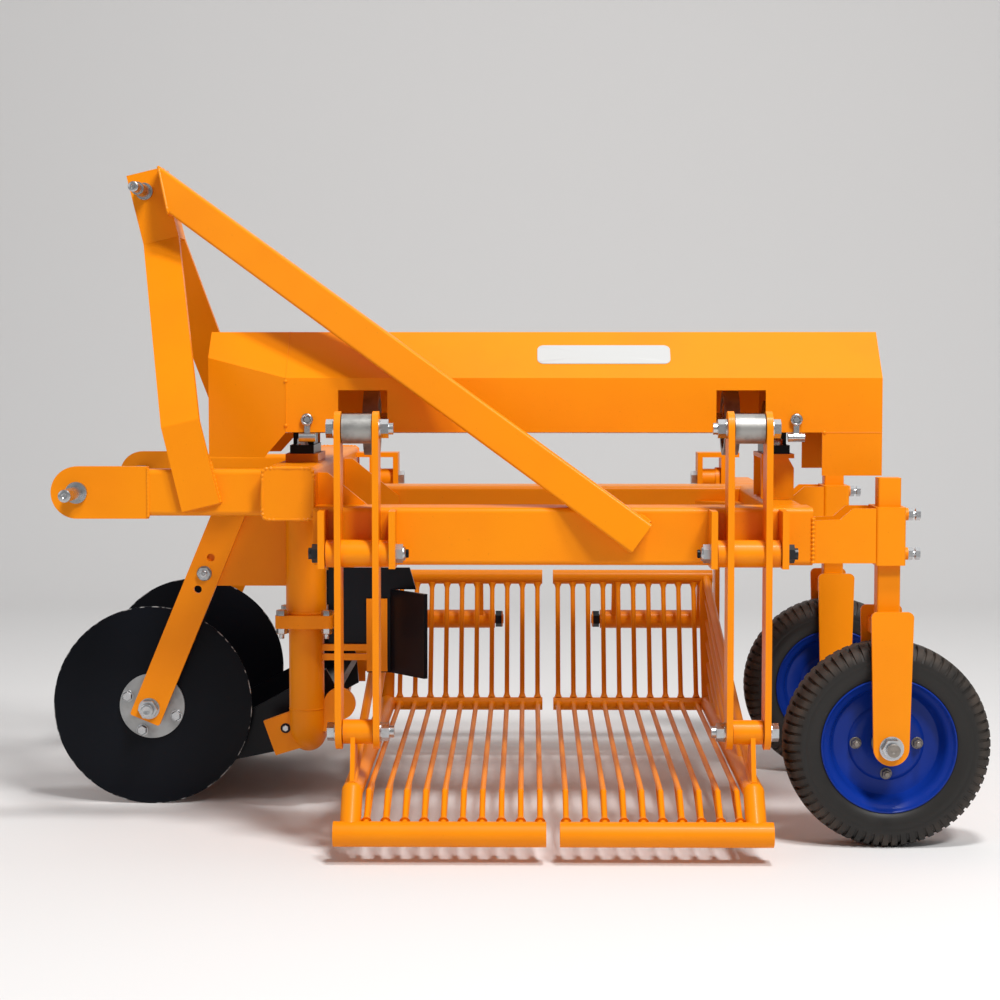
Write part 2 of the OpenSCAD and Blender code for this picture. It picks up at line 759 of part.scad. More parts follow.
module sieve(side, fence_rods) {
    near = [near_tube_y, near_tube_z];
    low = [low_tube_y, low_tube_z];
    top = [top_tube_y, top_tube_z];
    bend = [bend_y, bend_z];
    half(side) difference() {
        union() {
            rod_x(sieve_gap, sieve_u, near.x, near.y, near_tube_d);
            rod_x(sieve_gap, sieve_u, low.x, low.y, low_tube_d);
            rod_x(sieve_gap, rail_u + post_d / 2, top.x, top.y, top_tube_d);
            // sieve rods: (Y, Z) of the near tube, the bend, the middle tube and the upper tube
            for (i = [0 : sieve_rods - 1]) {
                u = rod_u(i);
                bent_rod([
                    [u, near.x, near.y + 8], [u, bend.x, bend.y], [u, low.x, low.y], [u, top.x, top.y]], rod_d);
                strut([u, near.x, near.y - 6], [u, bend.x + 110, bend.y], rod_d - 2);
            }
            // side rail with its raised front end
            bent_rod([
                [rail_u, near.x, near.y], [rail_u, bend.x - 24, bend.y + 4], [rail_u, low.x, low.y]], rail_d);
            strut([rail_u, low.x, low.y], [rail_u, top.x, top.y], post_d);
            strut([rail_u, bend.x - 30, bend.y + 16], [rail_u, top.x, top.y], 16);
            // fence rods between the rail and the corner post, side by side with the long bar
            for (k = [1 : 1 : fence_rods]) {
                t = k / (fence_rods + 1);
                strut([rail_u, bend.x + t * (low.x - bend.x), bend.y + t * (low.y - bend.y)],
                    [rail_u, top.x + t * (low.x - top.x), top.y + t * (low.y - top.y)], rod_d);
            }
            // upright and eye between the rocker's bars
            along_x(rocker_u + 4, rocker_u + 12) polygon([
                [rocker_y - 46, bend.y], [rocker_y + 60, bend.y], [rocker_y + 18, sieve_pin_z],
                [rocker_y - 18, sieve_pin_z]]);
            rod_x(rocker_u - rocker_gap / 2 + side_fit, rocker_u + rocker_gap / 2 - side_fit,
                rocker_y, sieve_pin_z, 42);
            // tube on the hanger's shaft with its two hangers from the upper tube
            rod_x(hanger_u0 + 5, hanger_u1 - 12, hanger_y, hanger_z, hanger_tube_d);
            for (u = [hanger_u0 + 30, hanger_u1 - 50])
                along_x(u, u + 10) slot_bar([top.x, top.y], [hanger_y, hanger_z], 26);
        }
        rod_x(-20, sieve_u - 5, near.x, near.y, near_tube_d - 8);
        rod_x(rocker_u - 60, rocker_u + 60, rocker_y, sieve_pin_z, rocker_bolt_d + 2 * run_fit);
        rod_x(0, 500, hanger_y, hanger_z, hanger_shaft_d + 2 * run_fit);
    }
}

hanger_u0 = 110;
hanger_u1 = rear_cross_x0 - mid_x - plate_t - 1;

module front_sieve() placed(orange) sieve(-1, 1);

module rear_sieve() placed(orange) sieve(1, 5);

// swinging arm with its shaft, which carries the far side of a sieve
module hanger(side) {
    half(side) {
        difference() {
            union() {
                along_x(hanger_u1 - 10, hanger_u1)
                    slot_bar([hanger_y, hanger_z], [hanger_y, hanger_top_z], 50);
                rod_x(hanger_u1 - 38, hanger_u1, hanger_y, hanger_top_z, 44);
            }
            rod_x(hanger_u1 - 60, hanger_u1 + 10, hanger_y, hanger_top_z, rocker_bolt_d + 2 * run_fit);
        }
        rod_x(hanger_u0 - 14, hanger_u1, hanger_y, hanger_z, hanger_shaft_d);
        hex_x(hanger_u0 - 12, hanger_u0 + 3, hanger_y, hanger_z, 30);
    }
}

module front_hanger() placed(orange) hanger(-1);

module rear_hanger() placed(orange) hanger(1);

module hanger_plates() placed(orange) {
    for (side = [-1, 1])
        half(side) {
            for (u = [hanger_u1 + 1, hanger_u1 - 39 - plate_t])
                difference() {
                    along_x(u, u + plate_t)
                        translate([hanger_y - 34, hanger_top_z - 30]) square([62, 88]);
                    rod_x(u - 1, u + plate_t + 1, hanger_y, hanger_top_z, rocker_bolt_d);
                }
            box([hanger_u1 - 39 - plate_t, hanger_y - 34, hanger_top_z + 48],
                [mid_x - cross_rear_x, hanger_y + 28, hanger_top_z + 58]);
        }
}

// fixed bolts on which the two rockers and the two hangers turn
module pivot_bolts() placed(zinc) {
    plate_u = plate_gap / 2 + plate_t;
    hanger_u = hanger_u1 - 39 - plate_t;
    for (side = [-1, 1])
        half(side) {
            rod_x(rocker_u - plate_u - nut_h, rocker_u + plate_u + nut_h + 6,
                rocker_y, rocker_z, rocker_bolt_d);
            for (u = [rocker_u - plate_u - nut_h, rocker_u + plate_u])
                hex_x(u, u + nut_h, rocker_y, rocker_z, 28);
            rod_x(hanger_u - nut_h, hanger_u1 + 1 + plate_t, hanger_y, hanger_top_z, rocker_bolt_d);
            hex_x(hanger_u - nut_h, hanger_u, hanger_y, hanger_top_z, 30);
        }
}

// ---------------------------------------------------------------- legs, share and discs

module leg(side) {
    out = -leg_offset;
    elbow_r = 35;
    elbow_z = 175;
    bolt = flange_side / 2 - 12;
    nut = 10;
    row_hand(side) {
        rod_z(flange_z, cross_z, cross_mid_x, out, leg_d);
        for (z = [flange_z, flange_z - flange_t])
            translate([cross_mid_x, out, 0]) along_z(z, z + flange_t)
                round_rect(flange_side, flange_side, 10);
        for (x = [-1, 1], y = [-1, 1])
            hex_z(flange_z - flange_t - nut, flange_z + flange_t + nut,
                cross_mid_x + x * bolt, out + y * bolt, 17);
        rod_z(elbow_z, flange_z, cross_mid_x, out, shank_d);
        // quarter bend that turns the leg's foot in towards the share
        translate([cross_mid_x, out + elbow_r, elbow_z]) rotate([90, 0, 90]) rotate([0, 0, 180])
            rotate_extrude(angle = 90) translate([elbow_r, 0]) circle(d = shank_d);
        rod_y(out + elbow_r, -share_half, cross_mid_x, elbow_z - elbow_r, shank_d);
        // holder plate for the disc's arm
        along_y(out + 24, out + 34) polygon([
            [cross_front_x, cross_z + 60], [-575, cross_z + 60], [-586, 560], [-632, 470],
            [-632, 423], [cross_mid_x, 423], [cross_mid_x, cross_z], [cross_front_x, cross_z]]);
        // lug on the shank's front and round-topped lug behind it
        along_y(out - 6, out + 6) polygon([
            [-499, 169], [-476, 104], [cross_mid_x, 122], [cross_mid_x, 199]]);
        along_y(out - 6, out + 6) {
            translate([cross_mid_x, 150]) square([62, 52]);
            translate([-355, 202]) circle(d = 60);
        }
    }
}

module left_leg() placed(orange) {
    leg(-1);
    // two bars and an upright that hold the deflector board
    for (z = [board_z0 + 24, board_z0 + 42])
        box([cross_mid_x, deflector_y - 8, z], [deflector_x + 2, deflector_y, z + 12]);
    box([deflector_x, deflector_y - 8, board_z0 + 3], [deflector_x + 39, deflector_y, flap_z1 - 17]);
}

module right_leg() placed(orange) {
    leg(1);
    // arm that holds the side board
    box([cross_mid_x - 12, side_board_y, board_z0 + 38], [cross_mid_x + 12, row_y + leg_offset, board_z0 + 78]);
}

module digging_share() placed(black) {
    translate([share_tip_x, row_y, ground_gap]) rotate([0, -share_slope, 0])
        along_z(0, share_t) polygon([
            [0, 0], [70, -share_half], [share_l, -share_half], [share_l, share_half], [70, share_half]]);
    // cheeks along the share's two sides, deeper where the legs' feet hold them
    for (side = [-1, 1])
        translate([share_tip_x, row_y, ground_gap]) rotate([0, -share_slope, 0])
            translate([0, side * (share_half - 4), 0]) along_y(-4, 4) polygon([
                [100, share_t - 1], [290, -46], [415, -46], [share_l, share_t - 1], [share_l, share_t + 40],
                [200, share_t + 40]]);
}

module row_side_board() placed(black) {
    x0 = cross_mid_x - 19;
    x1 = cross_mid_x + 85;
    z0 = board_z0 - 20;
    z1 = flap_z1 - 14;
    along_y(side_board_y - board_t, side_board_y) polygon([
        [x0, z0], [x1 - 10, z0], [x1, z0 + 18], [x1, z1], [x0, z1]]);
}

module deflector_board() placed(black) {
    edge = deflector_x + 46;
    step = board_z0 + 56;
    // notch in the front edge that clears the leg's flanges
    notch_x = cross_mid_x + flange_side / 2 + 6;
    notch_z = [flange_z - flange_t - 6, flange_z + flange_t + 6];
    along_y(deflector_y, deflector_y + board_t) polygon([
        [edge, board_z0], [edge, flap_z1], [edge + 47, flap_z1], [edge + 35, board_z1], [board_x0, board_z1],
        [board_x0, notch_z[1]], [notch_x, notch_z[1]], [notch_x, notch_z[0]], [board_x0, notch_z[0]],
        [board_x0, step], [deflector_x, step], [deflector_x, board_z0]]);
    along_z(board_z0, flap_z1) translate([edge, deflector_y + board_t / 2]) {
        circle(d = board_t);
        rotate(-flap_turn) translate([0, -board_t / 2]) square([flap_l, board_t]);
    }
}

// point on the disc arm's centre line, t = 0 at the axle and 1 at its top
function arm_point(t) = [disc_x + 168 * t, disc_r + 405 * t];
arm_l = norm(arm_point(1) - arm_point(0));
arm_turn = atan2(405, 168);

module disc_arm(side) {
    y = -leg_offset + 14;
    foot = 25;
    head = 30;
    row_hand(side) difference() {
        along_y(y, y + disc_arm_t) translate(arm_point(0)) rotate(arm_turn)
            translate([(arm_l + head - foot) / 2, 0]) round_rect(arm_l + head + foot, disc_arm_w, 5);
        rod_y(y - 1, y + disc_arm_t + 1, disc_x, disc_r, axle_d);
        for (t = [0.56, 0.635, 0.709, 0.94])
            rod_y(y - 1, y + disc_arm_t + 1, arm_point(t).x, arm_point(t).y, arm_bolt_d);
    }
}

module disc_arms() placed(orange) {
    disc_arm(-1);
    disc_arm(1);
}

module disc(side) {
    row_hand(side) difference() {
        rod_y(-disc_offset, -disc_offset + disc_t, disc_x, disc_r, disc_d);
        rod_y(-disc_offset - 1, -disc_offset + disc_t + 1, disc_x, disc_r, 60);
    }
}

module disc_hub(side) {
    row_hand(side) difference() {
        union() {
            rod_y(-disc_offset - 6, -disc_offset, disc_x, disc_r, hub_d);
            rod_y(-disc_offset, -disc_offset + disc_t, disc_x, disc_r, 60);
        }
        rod_y(-disc_offset - 10, -disc_offset + 40, disc_x, disc_r, axle_d + 2 * run_fit);
    }
}

// stub axles that carry the discs on their arms
module disc_axles() placed(zinc) {
    arm_face = -leg_offset + 14 + disc_arm_t;
    hub_face = -disc_offset - 6;
    for (side = [-1, 1])
        row_hand(side) {
            rod_y(arm_face - disc_arm_t - 30, -disc_offset + disc_t + 18, disc_x, disc_r, axle_d);
            rod_y(arm_face, hub_face - 0.5, disc_x, disc_r, axle_d + 16);
            rod_y(arm_face - disc_arm_t - 4, arm_face - disc_arm_t, disc_x, disc_r, 40);
            hex_y(arm_face - disc_arm_t - 20, arm_face - disc_arm_t - 4, disc_x, disc_r, 32);
            hex_y(-disc_offset + disc_t + 1, -disc_offset + disc_t + 15, disc_x, disc_r, 36);
            // bolts that clamp the arm to its holder plate
            for (p = [arm_point(0.635), arm_point(0.94)]) {
                rod_y(arm_face - disc_arm_t - 12, arm_face, p.x, p.y, arm_bolt_d);
                hex_y(arm_face - disc_arm_t - 10, arm_face - disc_arm_t, p.x, p.y, 22);
            }
        }
}

module left_disc() placed(black) disc(-1);

module left_disc_hub() placed(zinc) disc_hub(-1);

module right_disc() placed(black) disc(1);

module right_disc_hub() placed(zinc) disc_hub(1);

// ---------------------------------------------------------------- wheels

module tyre(side) {
    half_w = tyre_w / 2;
    bead = rim_d / 2;
    hand(side) translate([wheel_x, -wheel_y, tyre_r]) rotate([90, 0, 0])
        rotate_extrude($fn = 72) polygon([
            [bead - 14, -half_w + 24], [bead, -half_w + 10], [bead + 22, -half_w],
            [tyre_r - 22, -half_w + 2], [tyre_r - 6, -half_w + 10], [tyre_r, -half_w + 22],
            [tyre_r, half_w - 22], [tyre_r - 6, half_w - 10], [tyre_r - 22, half_w - 2],
            [bead + 22, half_w], [bead, half_w - 10], [bead - 14, half_w - 24]]);
}

module rim(side) {
    half_w = tyre_w / 2;
    bead = rim_d / 2;
    hand(side) translate([wheel_x, -wheel_y, tyre_r]) rotate([90, 0, 0]) difference() {
        union() {
            rotate_extrude($fn = 72) polygon([
                [bead - 20, -half_w + 14], [bead, -half_w + 9], [bead, -half_w + 10], [bead - 14, -half_w + 24],
                [bead - 14, half_w - 24], [bead, half_w - 10], [bead, half_w - 9], [bead - 20, half_w - 14]]);
            translate([0, 0, -4]) cylinder(h = 8, r = bead - 15);
            translate([0, 0, -half_w]) cylinder(h = tyre_w, d = 52);
        }
        translate([0, 0, -half_w - 1]) cylinder(h = tyre_w + 2, r = axle_d / 2 + run_fit);
        for (i = [0 : 3])
            rotate(90 * i + 45) translate([55, 0, -10]) cylinder(h = 20, d = 12);
    }
}

module left_tyre() placed(rubber) tyre(-1);

module left_rim() placed(blue) rim(-1);

module right_tyre() placed(rubber) tyre(1);

module right_rim() placed(blue) rim(1);

module wheel_post(side) {
    reach = tyre_w / 2 + 9;
    corner = 10;
    hand(side) {
        translate([wheel_x, -wheel_y, 0]) along_z(fork_top - 36, post_top)
            tube_section(post_side, post_side, wall_min, 4);
        translate([wheel_x, -wheel_y, 0]) along_z(post_top - 3, post_top) round_rect(post_side, post_side, 4);
        box([wheel_x - 25, -wheel_y - reach, fork_top - 46], [wheel_x + 25, -wheel_y + reach, fork_top - 20]);
        for (s = [-1, 1])
            difference() {
                y0 = -wheel_y + (s < 0 ? -reach - fork_t : reach);
                along_y(y0, y0 + fork_t) translate([wheel_x, 0]) union() {
                    translate([0, tyre_r]) circle(d = fork_tip_w);
                    polygon([
                        [-fork_tip_w / 2, tyre_r], [fork_tip_w / 2, tyre_r],
                        [fork_w / 2, fork_top - corner], [fork_w / 2 - corner, fork_top],
                        [corner - fork_w / 2, fork_top], [-fork_w / 2, fork_top - corner]]);
                    for (x = [-1, 1])
                        translate([x * (fork_w / 2 - corner), fork_top - corner]) circle(r = corner);
                }
                rod_y(y0 - 1, y0 + fork_t + 1, wheel_x, tyre_r, axle_d);
            }
    }
}

module left_wheel_post() placed(orange) wheel_post(-1);

module right_wheel_post() placed(orange) wheel_post(1);

module axle(side) {
    reach = tyre_w / 2 + 9 + fork_t;
    hand(side) {
        rod_y(-wheel_y - reach - 26, -wheel_y + reach + 14, wheel_x, tyre_r, axle_d);
        rod_y(-wheel_y - reach - 4, -wheel_y - reach, wheel_x, tyre_r, 42);
        hex_y(-wheel_y - reach - 18, -wheel_y - reach - 4, wheel_x, tyre_r, 32);
        hex_y(-wheel_y + reach, -wheel_y + reach + 14, wheel_x, tyre_r, 36);
    }
}

module left_axle() placed(zinc) axle(-1);

module right_axle() placed(zinc) axle(1);

link_arms();
lower_link_pins();
mast_bars();
top_link_pin();
mast_brace();
front_cross_tube();
left_beam();
right_beam();
rear_cross_tube();
left_post_clamp();
right_post_clamp();
clamp_screws();
rocker_plates();
hanger_plates();
shaft_stands();
shaft_bearings();
left_leg();
right_leg();
digging_share();
row_side_board();
deflector_board();
disc_arms();
disc_axles();
pivot_bolts();
shaft_hood();
hood_clips();
left_disc();
left_disc_hub();
right_disc();
right_disc_hub();
left_tyre();
left_rim();
right_tyre();
right_rim();
left_wheel_post();
right_wheel_post();
left_axle();
right_axle();
drive_shaft();
front_rocker();
rear_rocker();
front_rocker_bolts();
rear_rocker_bolts();
front_conrod();
rear_conrod();
front_sieve();
rear_sieve();
front_hanger();
rear_hanger();
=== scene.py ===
"""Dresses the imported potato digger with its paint, tyres, welds and small fasteners."""

import json
import math

import bpy
import numpy as np
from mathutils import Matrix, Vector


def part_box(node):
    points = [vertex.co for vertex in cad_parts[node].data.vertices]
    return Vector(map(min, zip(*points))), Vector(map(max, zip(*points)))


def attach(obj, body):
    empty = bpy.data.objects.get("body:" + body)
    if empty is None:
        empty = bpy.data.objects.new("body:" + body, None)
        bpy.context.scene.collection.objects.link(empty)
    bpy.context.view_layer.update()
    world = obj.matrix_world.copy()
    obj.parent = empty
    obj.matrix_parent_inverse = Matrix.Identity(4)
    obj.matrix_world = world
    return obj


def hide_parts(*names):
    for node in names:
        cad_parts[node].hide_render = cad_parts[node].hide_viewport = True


bl_info = {
    "name": "Potato Digger Dressing",
    "version": (1, 0, 0),
    "blender": (4, 5, 0),
    "location": "View3D > Sidebar > Digger",
    "description": "Adds tyres, rims, welds, fasteners and finishes to a mounted potato digger",
    "category": "Object",
}

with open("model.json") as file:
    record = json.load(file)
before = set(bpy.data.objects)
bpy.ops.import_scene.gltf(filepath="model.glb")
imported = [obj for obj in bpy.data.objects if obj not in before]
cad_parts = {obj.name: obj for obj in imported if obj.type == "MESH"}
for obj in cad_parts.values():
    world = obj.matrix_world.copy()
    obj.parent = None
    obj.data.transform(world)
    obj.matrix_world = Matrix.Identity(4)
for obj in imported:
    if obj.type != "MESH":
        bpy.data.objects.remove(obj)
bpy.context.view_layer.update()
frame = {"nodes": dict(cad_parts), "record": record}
MM = 0.001
TAU = 2 * math.pi


def corners(node):
    """Lowest and highest corner of a CAD node as two arrays, in metres."""
    lo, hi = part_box(node)
    return np.array(lo), np.array(hi)


def middle(node):
    """Middle of a CAD node's box."""
    lo, hi = corners(node)
    return (lo + hi) / 2


# The machine's own datum: X = 0 near the sieves' gap and Y = 0 in the hitch's middle plane.
HITCH_Y = middle("lower_link_pins")[1]
DATUM_X = middle("left_tyre")[0] - 628 * MM
# the link pins' axes, and X and Z of each disc arm's two bolts, in mm from that datum
LINK_PIN, TOP_PIN = (-792, 0, 617), (-719, 0, 1165)
ARM_BOLTS = ((-611.3, 447.2), (-560.1, 570.7))
# X halfway between the sieves
SIEVE_GAP_X = 43
# half a leg flange's side
FLANGE_HALF = 0.054
# the hood's wall: height of its lower edge and of its fold, and the bevel's depth above the fold
HOOD_EDGE, HOOD_FOLD, HOOD_BEVEL = 0.719, 0.817, 0.085


def at(x, y, z):
    """Point given in millimetres from the machine's datum, in metres in the frame."""
    return np.array([DATUM_X + x * MM, HITCH_Y + y * MM, z * MM])


def leg_y(name):
    """Y of a leg's axis, half a flange inside the leg's outer face."""
    lo, hi = corners(name)
    return lo[1] + FLANGE_HALF if name == "left_leg" else hi[1] - FLANGE_HALF


# ---- surfaces

def in_scene(name, data):
    """New object of that data, linked to the scene."""
    obj = bpy.data.objects.new(name, data)
    bpy.context.scene.collection.objects.link(obj)
    return obj


def smooth_mesh(name, points, faces):
    """Mesh with every face shaded smooth, as an object in the scene."""
    mesh = bpy.data.meshes.new(name)
    mesh.from_pydata(points.tolist(), [], faces)
    mesh.validate()
    mesh.update()
    mesh.polygons.foreach_set("use_smooth", np.ones(len(mesh.polygons), bool))
    return in_scene(name, mesh)


def skin(name, rows, body, finish, loop=False, smooth=40.0):
    """Mesh of closed rings carried along paths.

    rows has the shape (skins, steps, sides, 3): ring number i of a skin is rows[skin, i], and
    neighbouring rings are joined side by side. With loop the last ring joins the first, and
    otherwise both ends are closed by a fan about the ring's own middle.
    """
    rows = np.asarray(rows, float)
    skins, steps, sides, _ = rows.shape
    ring = np.arange(sides)
    step = np.arange(steps if loop else steps - 1)
    first = np.arange(skins) * steps * sides
    a = first[:, None, None] + step[None, :, None] * sides + ring[None, None, :]
    b = first[:, None, None] + step[None, :, None] * sides + (ring[None, None, :] + 1) % sides
    onward = first[:, None, None] + ((step[None, :, None] + 1) % steps) * sides
    quads = np.stack([a, b, onward + (ring + 1) % sides, onward + ring], -1).reshape(-1, 4)
    points = rows.reshape(-1, 3)
    faces = quads.tolist()
    if not loop:
        mids = rows[:, [0, -1]].mean(2).reshape(-1, 3)
        centre = len(points) + np.arange(skins) * 2
        nxt = (ring + 1) % sides
        near = np.stack(np.broadcast_arrays(first[:, None] + nxt, first[:, None] + ring, centre[:, None]), -1)
        last = first + (steps - 1) * sides
        beyond = centre[:, None] + 1
        far = np.stack(np.broadcast_arrays(last[:, None] + ring, last[:, None] + nxt, beyond), -1)
        points = np.vstack([points, mids])
        faces += np.concatenate([near, far]).reshape(-1, 3).tolist()
    obj = smooth_mesh(name, points, faces)
    outward(obj.data)
    obj.data.set_sharp_from_angle(angle=math.radians(smooth))
    obj.data.materials.append(finish)
    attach(obj, body)
    return obj


def outward(mesh):
    """Turns a whole mesh inside out where its signed volume is negative.

    The volume is a sixth of the sum of a . (b x c) over the triangles a, b, c.
    """
    mesh.calc_loop_triangles()
    tri = np.empty(len(mesh.loop_triangles) * 3, np.int32)
    mesh.loop_triangles.foreach_get("vertices", tri)
    co = np.empty(len(mesh.vertices) * 3)
    mesh.vertices.foreach_get("co", co)
    a, b, c = co.reshape(-1, 3)[tri.reshape(-1, 3)].transpose(1, 0, 2)
    if np.einsum("ij,ij->i", a, np.cross(b, c)).sum() < 0:
        mesh.flip_normals()


def across(axis):
    """Each axis as a unit vector, and two more square to it and to each other."""
    axis = np.atleast_2d(np.asarray(axis, float))
    axis = axis / np.linalg.norm(axis, axis=1, keepdims=True)
    helper = np.where(np.abs(axis[:, 2:3]) < 0.9, [[0.0, 0.0, 1.0]], [[1.0, 0.0, 0.0]])
    u = np.cross(helper, axis)
    u /= np.linalg.norm(u, axis=1, keepdims=True)
    return axis, u, np.cross(axis, u)


def turned(centres, axes, profile, sides=24, outline=None):
    """Turned pieces, one for each centre and axis, or all on one axis.

    profile is a list of (distance along the axis, radius). Ring i lies at
    centre + a * axis, and its point at angle t is radius * outline(t) away from the axis.
    """
    axis, u, v = across(axes)
    centres = np.atleast_2d(np.asarray(centres, float))
    n = max(len(centres), len(axis))
    axis, u, v, centres = (np.broadcast_to(k, (n, 3)) for k in (axis, u, v, centres))
    t = np.arange(sides) / sides * TAU
    scale = np.ones(sides) if outline is None else outline(t)
    profile = np.asarray(profile, float)
    along = profile[:, 0][None, :, None, None] * axis[:, None, None, :]
    spoke = np.cos(t)[:, None] * u[:, None, :] + np.sin(t)[:, None] * v[:, None, :]
    out = profile[:, 1][None, :, None, None] * (spoke * scale[:, None])[:, None, :, :]
    return centres[:, None, None, :] + along + out


def revolved(centre, offset, radius, angle):
    """Section turned round a cross-machine axis.

    The point at angle t is centre + (radius cos t, offset, radius sin t). The radius may have a
    row for each angle, besides its column for each point of the section.
    """
    radius = np.broadcast_to(radius, (len(angle), len(offset)))
    return np.stack([
        centre[0] + radius * np.cos(angle)[:, None],
        np.broadcast_to(centre[1] + offset, radius.shape),
        centre[2] + radius * np.sin(angle)[:, None]], -1)[None]


def bolt_circle(centre, y, radius, first=0.0):
    """Four spots a quarter turn apart round a cross-machine axis, all at the same Y."""
    turns = first + np.arange(4) * TAU / 4
    x, z = centre[0] + radius * np.cos(turns), centre[2] + radius * np.sin(turns)
    return np.stack([x, np.full(4, y), z], 1)


def hexagon(t):
    """Distance to a hexagon's edge at angle t, where its flat is 1 away: 1 / cos(t within 30 degrees)."""
    return 1 / np.cos((t + TAU / 12) % (TAU / 6) - TAU / 12)


def hex_heads(centres, axes, flats, height):
    """Chamfered hexagon heads or nuts that rise by height along their axes."""
    half = flats / 2
    chamfer = height * 0.82
    profile = [(0, half * 0.98), (0, half), (chamfer, half), (height, half * 0.86), (height, half * 0.5)]
    return turned(centres, axes, profile, 24, hexagon)


def washers(centres, axes, radius, thick):
    """Flat round washers with a broken edge."""
    return turned(centres, axes, [(0, radius), (thick * 0.7, radius), (thick, radius - thick * 0.3)], 28)


def swept(paths, radius, sides=8, loop=False, ripple=0.0, pitch=0.004):
    """Tubes along paths of shape (skins, steps, 3).

    The tube's point at angle t is path + r * (cos t * side + sin t * up), where side and up are
    square to the path's own direction and r swells and shrinks by ripple along its length.
    """
    paths = np.asarray(paths, float)
    if loop:
        ahead = np.roll(paths, -1, 1) - np.roll(paths, 1, 1)
    else:
        ahead = np.gradient(paths, axis=1)
    skins, steps, _ = paths.shape
    _, side, up = across(ahead.reshape(-1, 3))
    side, up = side.reshape(skins, steps, 1, 3), up.reshape(skins, steps, 1, 3)
    gone = np.linalg.norm(np.diff(paths, axis=1, prepend=paths[:, :1]), axis=2).cumsum(1)
    r = radius * (1 + ripple * np.sin(gone / pitch * TAU))[:, :, None, None]
    t = (np.arange(sides) / sides * TAU)[None, None, :, None]
    return paths[:, :, None, :] + r * (np.cos(t) * side + np.sin(t) * up)


def line(p, q, step=0.0013):
    """Evenly spaced points from p to q."""
    p, q = np.asarray(p, float), np.asarray(q, float)
    n = max(int(np.linalg.norm(q - p) / step), 3)
    return p + (q - p) * np.linspace(0, 1, n)[:, None]


def ring_path(centre, axis, radius, n=160):
    """Circle of that radius about an axis through its centre."""
    _, u, v = across([axis])
    t = (np.arange(n) / n * TAU)[:, None]
    return np.asarray(centre) + radius * (np.cos(t) * u + np.sin(t) * v)


def box_path(centre, u, v, half_u, half_v, corner, n=220):
    """Rectangle with round corners in the plane of u and v.

    It is the curve |x|^p + |y|^p = 1 bent out to the half sides, with p from the corner.
    """
    t = np.arange(n) / n * TAU
    power = min(half_u, half_v) / corner
    c, s = np.cos(t), np.sin(t)
    x = half_u * np.sign(c) * np.abs(c) ** (1 / power)
    y = half_v * np.sign(s) * np.abs(s) ** (1 / power)
    return np.asarray(centre) + x[:, None] * np.asarray(u, float) + y[:, None] * np.asarray(v, float)


def plate_skin(centre, u, v, width, height, thick, corner):
    """Thin plate with round corners, raised along u x v, with a broken upper edge."""
    lift = np.cross(np.asarray(u, float), np.asarray(v, float))
    steps = [(0.0, 0.0), (thick * 0.6, 0.0), (thick, thick * 0.5)]
    rings = [
        rounded(centre + lift * rise, u, v, width / 2 - inset, height / 2 - inset, corner)
        for rise, inset in steps
    ]
    return np.stack(rings)[None]


def rounded(centre, u, v, half_u, half_v, corner, per_corner=8):
    """Outline of a rectangle with quarter-circle corners, as evenly spaced corner arcs."""
    quarter = np.linspace(0, TAU / 4, per_corner)
    t = (np.arange(4)[:, None] * TAU / 4 + quarter[None, :]).ravel()
    sx = np.repeat([1, -1, -1, 1], per_corner)
    sy = np.repeat([1, 1, -1, -1], per_corner)
    x = sx * (half_u - corner) + corner * np.cos(t)
    y = sy * (half_v - corner) + corner * np.sin(t)
    return np.asarray(centre) + x[:, None] * np.asarray(u, float) + y[:, None] * np.asarray(v, float)


# ---- finishes

class Value:
    """Shader socket that takes part in arithmetic by adding Math nodes."""

    def __init__(self, finish, socket):
        self.finish, self.socket = finish, socket

    def _math(self, operation, *terms):
        return self.finish.node("ShaderNodeMath", {"operation": operation}, dict(enumerate(terms)))

    def __add__(self, other):
        return self._math("ADD", self, other)

    def __sub__(self, other):
        return self._math("SUBTRACT", self, other)

    def __rsub__(self, other):
        return self._math("SUBTRACT", other, self)

    def __mul__(self, other):
        return self._math("MULTIPLY", self, other)

    def __pow__(self, other):
        return self._math("POWER", self, other)

    def between(self, low, high):
        """0 below low, 1 above high and smooth between them."""
        sockets = {"Value": self, "From Min": low, "From Max": high}
        return self.finish.node("ShaderNodeMapRange", {"interpolation_type": "SMOOTHSTEP"}, sockets)


